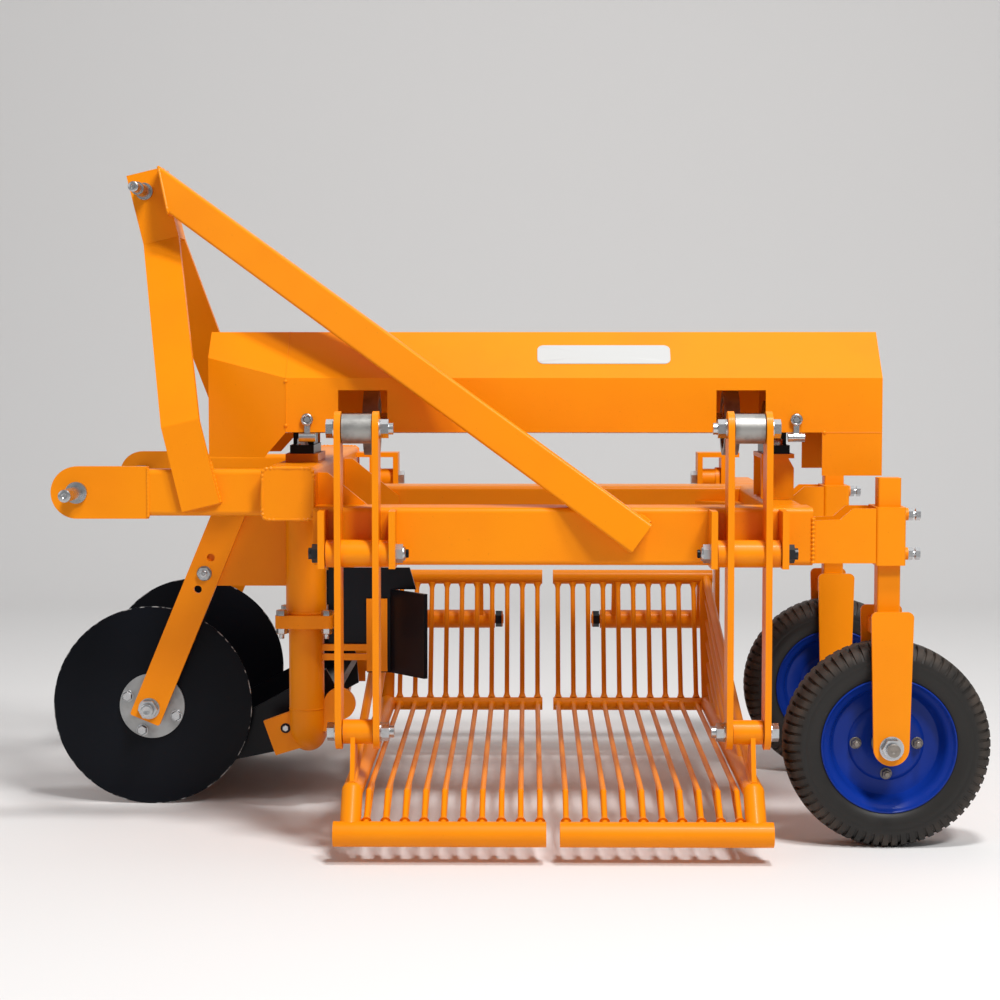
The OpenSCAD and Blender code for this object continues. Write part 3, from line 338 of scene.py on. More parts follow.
class Finish:
    """Material on one Principled shader, with short ways to add its nodes."""

    def __init__(self, name, colour, roughness, metallic=0.0, coat=0.0, specular=0.5):
        self.material = bpy.data.materials.new(name)
        self.material.use_nodes = True
        self.tree = self.material.node_tree
        self.shader = self.tree.nodes["Principled BSDF"]
        self.material.diffuse_color = (*colour, 1)
        constants = {
            "Base Color": (*colour, 1), "Roughness": roughness, "Metallic": metallic,
            "Coat Weight": coat, "Coat Roughness": 0.12, "Specular IOR Level": specular,
        }
        for socket, value in constants.items():
            self.shader.inputs[socket].default_value = value

    def node(self, kind, settings, sockets, output=0):
        """New node: its settings first, then its sockets by number or by name."""
        made = self.tree.nodes.new(kind)
        for key, value in settings.items():
            setattr(made, key, value)
        for key, value in sockets.items():
            if isinstance(value, Value):
                self.tree.links.new(value.socket, made.inputs[key])
            else:
                made.inputs[key].default_value = value
        return Value(self, made.outputs[output])

    def place(self):
        """Object coordinates."""
        return self.node("ShaderNodeTexCoord", {}, {}, output=3)

    def axis(self, number):
        """One of the object coordinates: 0, 1 or 2."""
        return self.node("ShaderNodeSeparateXYZ", {}, {0: self.place()}, output=number)

    def noise(self, scale, detail=3.0, roughness=0.5):
        """Cloudy pattern from 0 to 1."""
        sockets = {"Vector": self.place(), "Scale": scale, "Detail": detail, "Roughness": roughness}
        return self.node("ShaderNodeTexNoise", {}, sockets)

    def blend(self, share, first, second):
        """Colour that goes from the first to the second as share rises."""
        first, second = (c if isinstance(c, Value) else (*c, 1) for c in (first, second))
        return self.node("ShaderNodeMix", {"data_type": "RGBA"}, {0: share, 6: first, 7: second}, output=2)

    def radius(self, centre):
        """Distance from a cross-machine axis through that centre."""
        x, z = self.axis(0) - float(centre[0]), self.axis(2) - float(centre[2])
        return (x * x + z * z) ** 0.5

    def bump(self, height, strength, distance):
        """Feeds a height pattern to the shader's Normal."""
        sockets = {"Height": height, "Strength": strength, "Distance": distance}
        self.feed("Normal", self.node("ShaderNodeBump", {}, sockets))

    def feed(self, socket, value):
        self.tree.links.new(value.socket, self.shader.inputs[socket])


def shade(colour, share):
    """The colour times a share."""
    return tuple(share * c for c in colour)


def paint(name, colour, deep, roughness):
    """Baked powder paint: even colour, fine orange peel, duller patches and a little dust on top."""
    f = Finish(name, colour, roughness, coat=0.03, specular=0.16)
    patches = f.noise(7.0, 4.0)
    specks = f.noise(240.0, 2.0).between(0.70, 0.78) * 0.25
    tone = f.blend(patches.between(0.35, 0.75) * 0.4, colour, deep)
    f.feed("Base Color", f.blend(specks, tone, shade(deep, 0.55)))
    f.feed("Roughness", patches * 0.14 + (roughness - 0.07))
    f.bump(f.noise(420.0, 2.0), 0.05, 0.0006)
    return f.material


def bright_metal(name, colour, roughness, grain):
    """Plated steel with faint clouding."""
    f = Finish(name, colour, roughness, metallic=1.0)
    clouds = f.noise(60.0, 4.0)
    f.feed("Base Color", f.blend(clouds.between(0.4, 0.8) * 0.5, colour, shade(colour, 0.65)))
    f.feed("Roughness", clouds * 0.2 + (roughness - 0.1))
    f.bump(f.noise(grain, 2.0), 0.08, 0.0005)
    return f.material


def two_tone_bolts(name, colour, dark, span):
    """Plated bolts whose outer heads, beyond the span of X from low to high, are black."""
    f = Finish(name, colour, 0.34, metallic=1.0)
    low, high = span
    off = f.axis(0) - (low + high) / 2
    black = (off * off).between(((high - low) / 2) ** 2, ((high - low) / 2 + 0.0004) ** 2)
    f.feed("Base Color", f.blend(black, colour, dark))
    f.feed("Metallic", 1.0 - black)
    return f.material


def cast_metal(name, colour, roughness):
    """Bare grey casting with a sandy skin."""
    f = Finish(name, colour, roughness, metallic=0.75)
    f.feed("Base Color", f.blend(f.noise(30.0, 3.0).between(0.4, 0.7), colour, shade(colour, 0.6)))
    f.bump(f.noise(260.0, 5.0, 0.6), 0.25, 0.0008)
    return f.material


def rubber(name, colour, dust, foot, crown):
    """Tyre rubber, browner and dustier on its tread than on its walls.

    The tread mask rises from the radius foot to crown, measured in the wheel's own plane.
    """
    f = Finish(name, colour, 0.55, specular=0.34)
    tread = f.radius(middle("left_tyre")).between(foot, crown)
    clouds = f.noise(22.0, 5.0, 0.6)
    f.feed("Base Color", f.blend(tread * clouds.between(0.3, 0.75) * 0.8, colour, dust))
    f.feed("Roughness", clouds * 0.3 + tread * 0.2 + 0.30)
    f.bump(f.noise(500.0, 3.0), 0.15, 0.0006)
    return f.material


def disc_steel(name, colour, bare, centre, rim):
    """Black painted coulter steel whose rim is worn bare in places."""
    f = Finish(name, colour, 0.3, specular=0.09)
    chips = f.noise(60.0, 3.0).between(0.48, 0.62)
    worn = f.radius(centre).between(rim - 0.0020, rim - 0.0006) * chips
    clouds = f.noise(9.0, 4.0)
    f.feed("Base Color", f.blend(worn, colour, bare))
    f.feed("Roughness", clouds * 0.2 + 0.22)
    f.bump(f.noise(300.0, 2.0), 0.04, 0.0005)
    return f.material


def plain(name, colour, roughness, specular=0.5):
    """Smooth even finish with a very fine skin."""
    f = Finish(name, colour, roughness, specular=specular)
    f.bump(f.noise(600.0, 2.0), 0.03, 0.0004)
    return f.material


# ---- sizes and colours a user may change

class DiggerPaint(bpy.types.PropertyGroup):
    """Colours of the machine, linear."""

    orange: bpy.props.FloatVectorProperty(
        name="Orange", description="Powder paint of the frame and sieves", subtype="COLOR",
        default=(0.85, 0.256, 0.0010))
    orange_shade: bpy.props.FloatVectorProperty(
        name="Orange shade", description="Slightly deeper tone in the paint's patches", subtype="COLOR",
        default=(0.79, 0.206, 0.001))
    blue: bpy.props.FloatVectorProperty(
        name="Rim blue", description="Paint of the wheel rims", subtype="COLOR", default=(0.004, 0.028, 0.25))
    black: bpy.props.FloatVectorProperty(
        name="Tool black", description="Paint of the share, boards and bearings", subtype="COLOR",
        default=(0.005, 0.006, 0.009))
    rubber: bpy.props.FloatVectorProperty(
        name="Rubber", description="Tyre walls", subtype="COLOR", default=(0.014, 0.0125, 0.011))
    tread: bpy.props.FloatVectorProperty(
        name="Tread", description="Dusty brown of the tread", subtype="COLOR", default=(0.075, 0.055, 0.042))


class DiggerSizes(bpy.types.PropertyGroup):
    """Sizes of the dressed pieces."""

    lugs: bpy.props.IntProperty(
        name="Lugs", description="Lateral lugs round each tyre's shoulder", default=66, min=40, max=90)
    groove: bpy.props.FloatProperty(
        name="Groove", description="Depth of the tread", default=0.0055, unit="LENGTH")
    weld: bpy.props.FloatProperty(
        name="Weld", description="Radius of a weld bead", default=0.0030, unit="LENGTH")
    wheel_nut: bpy.props.FloatProperty(
        name="Wheel nut", description="Rim nut across its flats", default=0.015, unit="LENGTH")
    rim_bolts: bpy.props.FloatProperty(
        name="Rim bolt circle", description="Radius of the rim's bolt circle", default=0.054, unit="LENGTH")
    disc_bolts: bpy.props.FloatProperty(
        name="Disc bolt circle", description="Radius of the hub's bolt circle", default=0.050, unit="LENGTH")


def paints():
    return bpy.context.scene.digger_paint


def sizes():
    return bpy.context.scene.digger_sizes


def finish(name):
    return bpy.data.materials[name]


def painted(name, rows, body, **how):
    """Orange piece that rides on a body."""
    skin(name, rows, body, finish("orange_powder"), **how)


def plated(name, rows, body, metal="zinc_plate", **how):
    """Piece that rides on a body, plated unless another finish is named."""
    skin(name, rows, body, finish(metal), **how)


def blackened(name, rows, body):
    """Black piece that rides on a body."""
    skin(name, rows, body, finish("black_tool_paint"))


# ---- operators

class DIGGER_OT_finishes(bpy.types.Operator):
    """Make the finishes and lay them on the solid parts"""

    bl_idname = "digger.finishes"
    bl_label = "Finishes"

    # colours of bare and plated metal, of the blank plate and of the grease caps, linear; the dark dull steel
    # is also painted shade in the washers round the disc arms' nuts
    SILVER, GREY, DULL = (0.52, 0.53, 0.54), (0.42, 0.43, 0.43), (0.30, 0.27, 0.24)
    CASTING, WORN = (0.36, 0.35, 0.33), (0.45, 0.45, 0.44)
    BLANK, GREASE = (0.52, 0.52, 0.51), (0.5, 0.46, 0.38)
    # radii between which the tread's tone sets in, and the disc's radius
    TREAD, DISC_RIM = (0.150, 0.170), 0.190

    def execute(self, context):
        p = paints()
        made = {
            "orange_paint": paint("orange_powder", tuple(p.orange), tuple(p.orange_shade), 0.38),
            "rim_blue": paint("blue_rim_enamel", tuple(p.blue), shade(p.blue, 0.8), 0.26),
            "black_paint": plain("black_tool_paint", tuple(p.black), 0.28, 0.15),
            "zinc": bright_metal("zinc_plate", self.SILVER, 0.28, 300.0),
            "casting": cast_metal("grey_casting", self.CASTING, 0.45),
            "tyre": rubber("tyre_rubber", tuple(p.rubber), tuple(p.tread), *self.TREAD),
        }
        disc_steel("disc_steel", tuple(p.black), self.WORN, middle("left_disc"), self.DISC_RIM)
        bright_metal("galvanised_flange", self.GREY, 0.5, 120.0)
        # dull steel: the rim bolts' own finish, and painted shade on the disc arms' washers
        bright_metal("dull_steel_and_painted_shade", self.DULL, 0.5, 200.0)
        plain("blank_plate_white", self.BLANK, 0.45, 0.3)
        plain("grease_cap", self.GREASE, 0.5)
        span = tuple(float(corner[0]) for corner in corners("rocker_plates"))
        two_tone_bolts("two_tone_bolts", self.SILVER, tuple(p.black), span)
        for part in frame["record"]["subparts"]:
            solid = frame["nodes"][part["node"]]
            solid.data.materials.clear()
            solid.data.materials.append(made[part["material_slot"]])
        frame["nodes"]["pivot_bolts"].data.materials[0] = finish("two_tone_bolts")
        for node in ("left_disc_hub", "right_disc_hub"):
            frame["nodes"][node].data.materials[0] = finish("galvanised_flange")
        return {"FINISHED"}


class DIGGER_OT_tyres(bpy.types.Operator):
    """Wrap each wheel in a tyre with lateral lugs"""

    bl_idname = "digger.tyres"
    bl_label = "Tyres"

    # a groove's width and the run of its slopes, as shares of one lug and groove together
    GROOVE, SLOPE = 0.38, 0.05
    # half section in mm from the bead over the shoulder to the crown: (offset, radius, share of the groove)
    HALF = np.array([
        (24.5, 102.5, 0), (34, 110.5, 0), (38.5, 116, 0), (42.5, 121, 0), (45.5, 128, 0), (47.4, 136, 0),
        (48.4, 143, 0), (48.0, 144.4, 0), (48.0, 146.4, 0), (48.6, 147.6, 0), (48.4, 152, 0), (47.9, 155, 0),
        (47.6, 156.5, 0.55), (46.6, 161, 1), (44.6, 166.5, 1), (41.4, 171.5, 1), (36.5, 175.5, 1),
        (30, 178, 1), (22, 179.4, 1), (13, 180, 1), (10.5, 180, 0), (4, 180, 0)])

    @staticmethod
    def tyre(centre, lugs, groove):
        """Section turned about the axle: the point at angle t and section step s is
        offset(s) along the axle and radius(s) - groove * share(s) * cut(t) away from it.
        cut is 1 in a groove and 0 on a lug; the far half's cuts lie half a lug further on.
        """
        kind = DIGGER_OT_tyres
        section = np.vstack([kind.HALF, kind.HALF[::-1] * [-1, 1, 1]])
        edge = np.array([0, 0.05, 0.19, 0.33, 0.38, 0.5, 0.55, 0.69, 0.83, 0.88])
        t = (np.arange(lugs)[:, None] + edge[None, :]).ravel()

        def cut(turn):
            f = turn % 1.0
            return np.clip(np.minimum(f / kind.SLOPE, (kind.GROOVE - f) / kind.SLOPE), 0, 1)

        near, far = cut(t), cut(t + 0.5)
        depth = np.where(section[None, :, 0] > 0, near[:, None], far[:, None]) * section[None, :, 2]
        radius = section[None, :, 1] * MM - depth * groove
        return revolved(centre, section[:, 0] * MM, radius, t / lugs * TAU)

    def execute(self, context):
        s = sizes()
        for side in ("left", "right"):
            rows = self.tyre(middle(side + "_tyre"), s.lugs, s.groove)
            obj = skin(side + "_lugged_tyre", rows, side + "_wheel", finish("tyre_rubber"),
                       loop=True, smooth=32)
            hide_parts(side + "_tyre")
        return {"FINISHED"}


class DIGGER_OT_rims(bpy.types.Operator):
    """Press the two rim halves, the hub bush and their bolts"""

    bl_idname = "digger.rims"
    bl_label = "Rims"

    AROUND = 128
    # half section of the pressed rim in mm: (offset from the wheel's middle plane, radius)
    DISH = np.array([
        (0, 26), (7, 26), (9, 30), (9, 58), (8, 63), (4.5, 67), (4, 84), (6, 92), (12, 97), (22, 99.5),
        (29, 102), (33.5, 106), (36.5, 110.5), (39.5, 113.5), (42, 114.6), (43.4, 116.4), (42.6, 118.2),
        (40.4, 118.4), (38.4, 116), (34, 110.4), (24.6, 102.4), (0, 102.4)])
    # the hub's bush and a rim bolt's end past its nut: (distance along it, radius)
    BUSH = [
        (-0.049, 0.0128), (-0.049, 0.020), (-0.047, 0.0235), (-0.012, 0.0255), (0.012, 0.0255),
        (0.047, 0.0235), (0.049, 0.020), (0.049, 0.0128)]
    THREAD = [(0, 0.005), (0.006, 0.005), (0.007, 0.004)]
    # the web's face out from its middle, and the thickness of a washer and a nut on it
    WEB, WASHER, NUT = 0.009, 0.002, 0.010

    def execute(self, context):
        s = sizes()
        for side in ("left", "right"):
            body, centre = side + "_wheel", middle(side + "_rim")
            section = np.vstack([self.DISH, self.DISH[-2:0:-1] * [-1, 1]]) * MM
            rows = revolved(centre, *section.T, np.arange(self.AROUND) / self.AROUND * TAU)
            dish = skin(side + "_pressed_rim", rows, body, finish("blue_rim_enamel"), loop=True, smooth=30)
            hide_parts(side + "_rim")
            plated(side + "_hub_bush", turned(centre, (0, 1, 0), self.BUSH, 48), body, "grease_cap")
            spots = bolt_circle(centre, centre[1], s.rim_bolts)
            for way, word in ((-1, "outer"), (1, "inner")):
                face = spots + [0, way * self.WEB, 0]
                axis = np.array([0.0, way, 0.0])
                for what, rows in (
                        ("washers", washers(face, axis, 0.0105, self.WASHER)),
                        ("nuts", hex_heads(face + axis * self.WASHER, axis, s.wheel_nut, self.NUT)),
                        ("bolt_ends", turned(face + axis * 0.011, axis, self.THREAD, 16))):
                    plated(f"{side}_{word}_rim_{what}", rows, body, "dull_steel_and_painted_shade")
        return {"FINISHED"}


class DIGGER_OT_discs(bpy.types.Operator):
    """Sharpen the two coulter discs and bolt their hubs"""

    bl_idname = "digger.discs"
    bl_label = "Discs"

    # a blade's bore and the width of its ground edge
    BORE, BEVEL = 0.030, 0.012
    # turn of the first hub bolt, a bolt across its flats, and a washer's radius and thickness
    FIRST_BOLT, FLATS, WASHER, THICK = np.radians(68), 0.017, 0.0115, 0.0015

    def execute(self, context):
        for side, way in (("left", -1), ("right", 1)):
            body = side + "_disc"
            lo, hi = corners(body)
            centre, outer = (lo + hi) / 2, (hi[2] - lo[2]) / 2
            half = (hi[1] - lo[1]) / 2
            flat = outer - self.BEVEL
            profile = [(-half, self.BORE), (-half, flat), (-half * 0.2, outer), (half * 0.2, outer),
                       (half, flat), (half, self.BORE)]
            blade = skin(side + "_coulter_blade", turned(centre, (0, 1, 0), profile, 160), body,
                         finish("disc_steel"), smooth=12)
            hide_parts(body)
            hub_lo, hub_hi = corners(side + "_disc_hub")
            face = hub_lo[1] if way < 0 else hub_hi[1]
            spots = bolt_circle(centre, face, sizes().disc_bolts, self.FIRST_BOLT)
            axis = np.array([0.0, way, 0.0])
            plated(side + "_disc_hub_washers", washers(spots, axis, self.WASHER, self.THICK), body)
            heads = hex_heads(spots + axis * self.THICK, axis, self.FLATS, 0.008)
            plated(side + "_disc_hub_bolts", heads, body)
            spots[:, 1] = hi[1] if way < 0 else lo[1]
            plated(side + "_disc_hub_nuts", hex_heads(spots, -axis, self.FLATS, 0.009), body)
        return {"FINISHED"}


class DIGGER_OT_frame_welds(bpy.types.Operator):
    """Run the weld beads of the frame, mast, brace and legs"""

    bl_idname = "digger.frame_welds"
    bl_label = "Frame welds"

    # the cross tube's end plates
    CAP_HALF, CAP_CORNER = 0.0445, 0.009
    # height and radius of the beads round a leg, and of the seam above its elbow
    LEG_RINGS = ((0.571, 0.0385), (0.3755, 0.0388), (0.3485, 0.0336))
    ELBOW = (0.194, 0.0326)
    # both ends of the upright beads on the arm plates, arm tubes and beam ends, and the height of the
    # level ones where the beams meet the cross tube
    PLATE_Z, TUBE_Z, BEAM_Z, LEVEL_Z = (0.574, 0.660), (0.579, 0.655), (0.498, 0.577), 0.575
    # the mast's lean, and its bars' front and back edge and both ends of their feet, from the top pin
    LEAN = math.radians(13.6)
    BAR_FRONT, BAR_BACK, FOOT_HIGH, FOOT_LOW = -0.026, 0.042, 0.520, 0.5916
    # the brace's ends in mm from the datum, half its side, and how far its foot's bead runs up the
    # upper and lower edge
    HEAD, FOOT = (-673, -62, 1163), (184, -422, 552)
    BRACE_HALF, BEAD_UPPER, BEAD_LOWER = 0.030, 0.085, 0.030

    def execute(self, context):
        r = sizes().weld
        cross_lo, cross_hi = corners("front_cross_tube")
        mid_x, _, mid_z = middle("front_cross_tube")
        along, up = (1, 0, 0), (0, 0, 1)
        loops = [
            box_path((mid_x, y, mid_z), along, up, self.CAP_HALF, self.CAP_HALF, self.CAP_CORNER, 320)
            for y in (cross_lo[1] + 0.0020, cross_hi[1] - r * 1.22)
        ]
        rings, seams = [], []
        for leg in ("left_leg", "right_leg"):
            y = leg_y(leg)
            rings += [ring_path((mid_x, y, z), up, radius) for z, radius in self.LEG_RINGS]
            seams.append(ring_path((mid_x, y, self.ELBOW[0]), up, self.ELBOW[1]))
        self.bead("cross_tube_cap_welds", np.stack(loops), r, True, 0.20)
        self.bead("leg_welds", np.stack(rings), r, True)
        self.bead("leg_elbow_seams", np.stack(seams), r * 0.5, True)
        lines, ends = [], []
        for way, y in self.arm_faces():
            face = y - way * 0.001
            lines.append(self.upright(at(-667, 0, 0)[0], face, self.PLATE_Z))
            lines.append(self.upright(cross_lo[0], face - way * 0.014, self.TUBE_Z))
        for side, way in (("left", -1), ("right", 1)):
            lo, hi = corners(side + "_beam")
            y = lo[1] if way < 0 else hi[1]
            ends.append(self.upright(hi[0], y, self.BEAM_Z))
            lines.append(line(*((cross_hi[0], y - way * far, self.LEVEL_Z) for far in (0.002, 0.045))))
        self.bead("beam_end_welds", np.stack(ends), r * 1.2, ripple=0.22)
        lines += self.mast_feet()
        for n, path in enumerate(lines):
            self.bead(f"frame_weld_{n + 1}", path[None], r)
        head = self.brace_head()
        head[:, 2] = np.minimum(head[:, 2], corners("mast_bars")[1][2] - r)
        self.bead("brace_head_weld", head[None], r * 0.9, True)
        self.brace_foot(r * 1.3)
        return {"FINISHED"}

    @staticmethod
    def arm_faces():
        """-1 with the left link arm's outer Y, and 1 with the right one's."""
        lo, hi = corners("link_arms")
        return (-1, lo[1]), (1, hi[1])

    @staticmethod
    def upright(x, y, ends):
        """Path that stands at x and y between two heights."""
        return line(*((x, y, z) for z in ends))

    def mast_feet(self):
        """Beads up both edges of each mast bar's foot and along its lower end.

        A bar's edge is the pin + down * s + back * w, where down leans by the mast's angle.
        """
        down = np.array([math.sin(self.LEAN), 0, -math.cos(self.LEAN)])
        back = np.array([math.cos(self.LEAN), 0, math.sin(self.LEAN)])
        pin = at(*TOP_PIN)
        low, high, front, rear = self.FOOT_LOW, self.FOOT_HIGH, self.BAR_FRONT, self.BAR_BACK
        edge = ((high, front), (low, front), (low, rear), (high - 0.004, rear))
        paths = []
        for way, y in self.arm_faces():
            spots = [pin + down * s + back * w for s, w in edge]
            for spot in spots:
                spot[1] = y + way * 0.001
            paths += [line(a, b) for a, b in zip(spots, spots[1:])]
        return paths

    def brace_frame(self):
        """The brace's head, its direction down to the foot, and its own sideways and upward directions."""
        head, foot = at(*self.HEAD), at(*self.FOOT)
        axis = (foot - head) / np.linalg.norm(foot - head)
        side = np.array([0.0, 1.0, 0.0]) - axis * axis[1]
        side /= np.linalg.norm(side)
        return head, axis, side, np.cross(side, axis)

    def brace_foot(self, radius):
        """End that closes the brace square to the beam, and the bead that holds it there.

        Each point of the tube's outline is slid along the tube's axis to a plane that stands
        square on the beam's face: point + axis * ((far - point) . square) / (axis . square).
        """
        _, axis, side, up = self.brace_frame()
        foot, half = at(*self.FOOT), self.BRACE_HALF
        square = np.array([axis[0], 0, axis[2]]) / math.hypot(axis[0], axis[2])
        outline = rounded(foot, up, side, half, half, 0.005)
        far = foot + side * half + axis * 0.002
        slide = ((far - outline) @ square) / (axis @ square)
        closed = outline + axis * slide[:, None]
        painted("brace_foot_end", np.stack([outline, closed])[None], "frame", smooth=30)
        top, low = far + up * (half + 0.001), far - up * half
        corner = [top - axis * self.BEAD_UPPER, top, low, low - axis * self.BEAD_LOWER]
        path = np.concatenate([line(a, b)[:-1] for a, b in zip(corner, corner[1:])])
        self.bead("brace_foot_weld", path[None], radius)

    def brace_head(self):
        """Bead round the brace where the mast's back plane cuts it.

        Each half side of the square tube is slid along the tube's axis into the plane:
        side - axis * (side . normal) / (axis . normal).
        """
        normal = np.array([math.cos(self.LEAN), 0, math.sin(self.LEAN)])
        head, axis, side, up = self.brace_frame()
        back = at(*TOP_PIN) + normal * self.BAR_BACK
        centre = head + axis * ((back - head) @ normal) / (axis @ normal)
        slid = [0.0305 * (v - axis * (v @ normal) / (axis @ normal)) for v in (side, up)]
        reach = [float(np.linalg.norm(v)) for v in slid]
        return box_path(centre, slid[0] / reach[0], slid[1] / reach[1], reach[0], reach[1], 0.006, 240)

    @staticmethod
    def bead(name, paths, radius, loop=False, ripple=0.09):
        painted(name, swept(paths, radius, 8, loop, ripple, 0.0075), "frame", loop=loop)


class DIGGER_OT_sieve_welds(bpy.types.Operator):
    """Weld every sieve rod to its tubes with a flared fillet"""

    bl_idname = "digger.sieve_welds"
    bl_label = "Sieve welds"

    # rods of a sieve, in mm: the first one's distance from the gap's middle, and their pitch
    RODS, FIRST, PITCH = 10, 22, 32.7
    # Y and Z of the near tube, the rods' bend, the low tube and the top tube, in mm from the datum
    NEAR, BEND, LOW, TOP = (-522, 59), (-440, 108), (479, 119), (589, 380)

    def execute(self, context):
        u = self.FIRST + self.PITCH * np.arange(self.RODS)
        for side, way in (("front", -1), ("rear", 1)):
            x = SIEVE_GAP_X + way * u
            flares = []
            for start, end, skip in (
                    (self.LOW, self.BEND, 12.5), (self.LOW, self.TOP, 12.5), (self.TOP, self.LOW, 14.5),
                    (self.NEAR, self.BEND, 20.0)):
                a, b = np.array(start, float), np.array(end, float)
                d = (b - a) / np.linalg.norm(b - a)
                root = a + d * skip
                flares.append(turned([at(k, *root) for k in x], (0, *d), self.fillet(), 16))
            painted(side + "_sieve_rod_welds", np.concatenate(flares), side + "_sieve")
        return {"FINISHED"}

    @staticmethod
    def fillet():
        """Radius falls from 9.3 mm at the tube to the rod's 5.1 mm along a quarter wave, 13 mm out."""
        s = np.linspace(0, 1, 8)
        return np.stack([s * 0.013, 0.0051 + 0.0042 * (1 - np.sin(s * TAU / 4))], 1)


class DIGGER_OT_fasteners(bpy.types.Operator):
    """Fit the bolts, nuts and washers of the legs, bearings, rockers, arms, hangers and hood"""

    bl_idname = "digger.fasteners"
    bl_label = "Fasteners"

    # a leg flange's bolts: out from the leg's axis, and the two faces they stand on
    FLANGE_BOLT, FLANGE_TOP, FLANGE_LOW = 0.042, 0.3738, 0.3502
    # a flange bolt across its flats and the height of its head
    FLATS, HEIGHT = 0.0182, 0.0108
    # a bearing's bolts: in from its ends, out from the shaft and up from its foot
    BEARING_BOLT = (0.022, 0.058, 0.016)
    # the hood's eye rings: in from the clips' ends, in from their outer face and below their top
    EYE = (0.015, 0.004, 0.009)
    # rocker nuts and hanger shafts: reach from the sieves' gap, Y and Z, in mm
    NUT, SHAFT = (257, -430, 518), (113.2, 624, 284)
    # Y of the disc arms' outer nuts, and the lugs' bolts, in mm from the datum
    ARM_NUTS, LUG = ((-1, -50), (1, 584)), (-457, 0, 156)

    def execute(self, context):
        mid_x = middle("front_cross_tube")[0]
        reach = self.FLANGE_BOLT
        spots = np.array([(mid_x + a * reach, leg_y(leg) + b * reach, 0.0)
                          for leg in ("left_leg", "right_leg") for a in (-1, 1) for b in (-1, 1)])
        up, down = (0, 0, 1), (0, 0, -1)
        heads = np.concatenate([
            hex_heads(spots + [0, 0, self.FLANGE_TOP], up, self.FLATS, self.HEIGHT),
            hex_heads(spots + [0, 0, self.FLANGE_LOW], down, self.FLATS, self.HEIGHT)])
        plated("leg_flange_bolts", heads, "frame")
        thread = [(0, 0.0048), (0.008, 0.0048), (0.009, 0.004)]
        nut_face = spots + [0, 0, self.FLANGE_LOW - self.HEIGHT]
        plated("leg_flange_bolt_ends", turned(nut_face, down, thread, 14), "frame")
        bearing_lo, bearing_hi = corners("shaft_bearings")
        shaft_y = middle("shaft_bearings")[1]
        inward, out, rise = self.BEARING_BOLT
        spots = np.array([(x, shaft_y + way * out, bearing_lo[2] + rise)
                          for x in (bearing_lo[0] + inward, bearing_hi[0] - inward) for way in (-1, 1)])
        plated("bearing_bolt_washers", washers(spots, up, 0.011, 0.002), "frame")
        plated("bearing_bolts", hex_heads(spots + [0, 0, 0.002], up, 0.017, 0.010), "frame")
        self.lock_nuts()
        self.arm_washers_painted_shade()
        self.hanger_bolts()
        self.lug_bolts()
        clip_lo, clip_hi = corners("hood_clips")
        inward, depth, drop = self.EYE
        eyes = np.array([(x, clip_lo[1] + depth, clip_hi[2] - drop)
                         for x in (clip_lo[0] + inward, clip_hi[0] - inward)])
        rings = np.stack([ring_path(e, (0, 1, 0), 0.0085, 40) for e in eyes])
        plated("hood_eye_bolts", swept(rings, 0.0028, 12, True), "frame", loop=True)
        return {"FINISHED"}

    def lock_nuts(self):
        """Domed collars on the rockers' inner nuts, and the black thread ends beyond them.

        The collar's radius falls from 12.6 mm to 8 mm along a quarter circle, 5 mm out.
        """
        reach, y, z = self.NUT
        spots = np.array([at(SIEVE_GAP_X + way * reach, y, z) for way in (-1, 1)])
        axes = np.array([(1.0, 0, 0), (-1.0, 0, 0)])
        s = np.linspace(0, 1, 7) * TAU / 4
        dome = np.stack([0.005 * np.sin(s), 0.0080 + 0.0046 * np.cos(s)], 1)
        plated("rocker_lock_nuts", turned(spots, axes, dome, 32), "frame")
        thread = [(0, 0.0074), (0.0045, 0.0074), (0.0052, 0.0066)]
        blackened("rocker_thread_ends", turned(spots + axes * 0.0048, axes, thread, 24), "frame")

    def arm_washers_painted_shade(self):
        """Washers under the two outer nuts of each disc arm, in dark dull steel that paints the shaded ring
        round each nut.
        """
        for way, face in self.ARM_NUTS:
            spots = np.array([at(x, face, z) for x, z in ARM_BOLTS])
            rows = washers(spots, (0, way, 0), 0.0142, 0.0022)
            # the washers' dark finish is painted shade, the shaded ring round each nut
            plated(("right", "left")[way < 0] + "_arm_washers_painted_shade", rows, "frame", "dull_steel_and_painted_shade")

    def hanger_bolts(self):
        """Black heads on the inner ends of the two hanger shafts."""
        reach, y, z = self.SHAFT
        for way, side in ((-1, "front"), (1, "rear")):
            spot = at(SIEVE_GAP_X + way * reach, y, z)
            head = hex_heads(spot, (-way, 0, 0), 0.0306, 0.0157)
            blackened(side + "_hanger_bolt_head", head, side + "_hanger")

    def lug_bolts(self):
        """A small bolt in a black washer on the outer face of each leg's front lug."""
        for way, name in ((-1, "left_leg"), (1, "right_leg")):
            axis = np.array([0.0, way, 0.0])
            face = at(*self.LUG)
            face[1] = leg_y(name) + way * 0.006
            blackened(name + "_lug_washer", washers(face, axis, 0.0095, 0.0008), "frame")
            plated(name + "_lug_bolt", hex_heads(face + axis * 0.0008, axis, 0.0105, 0.004), "frame")


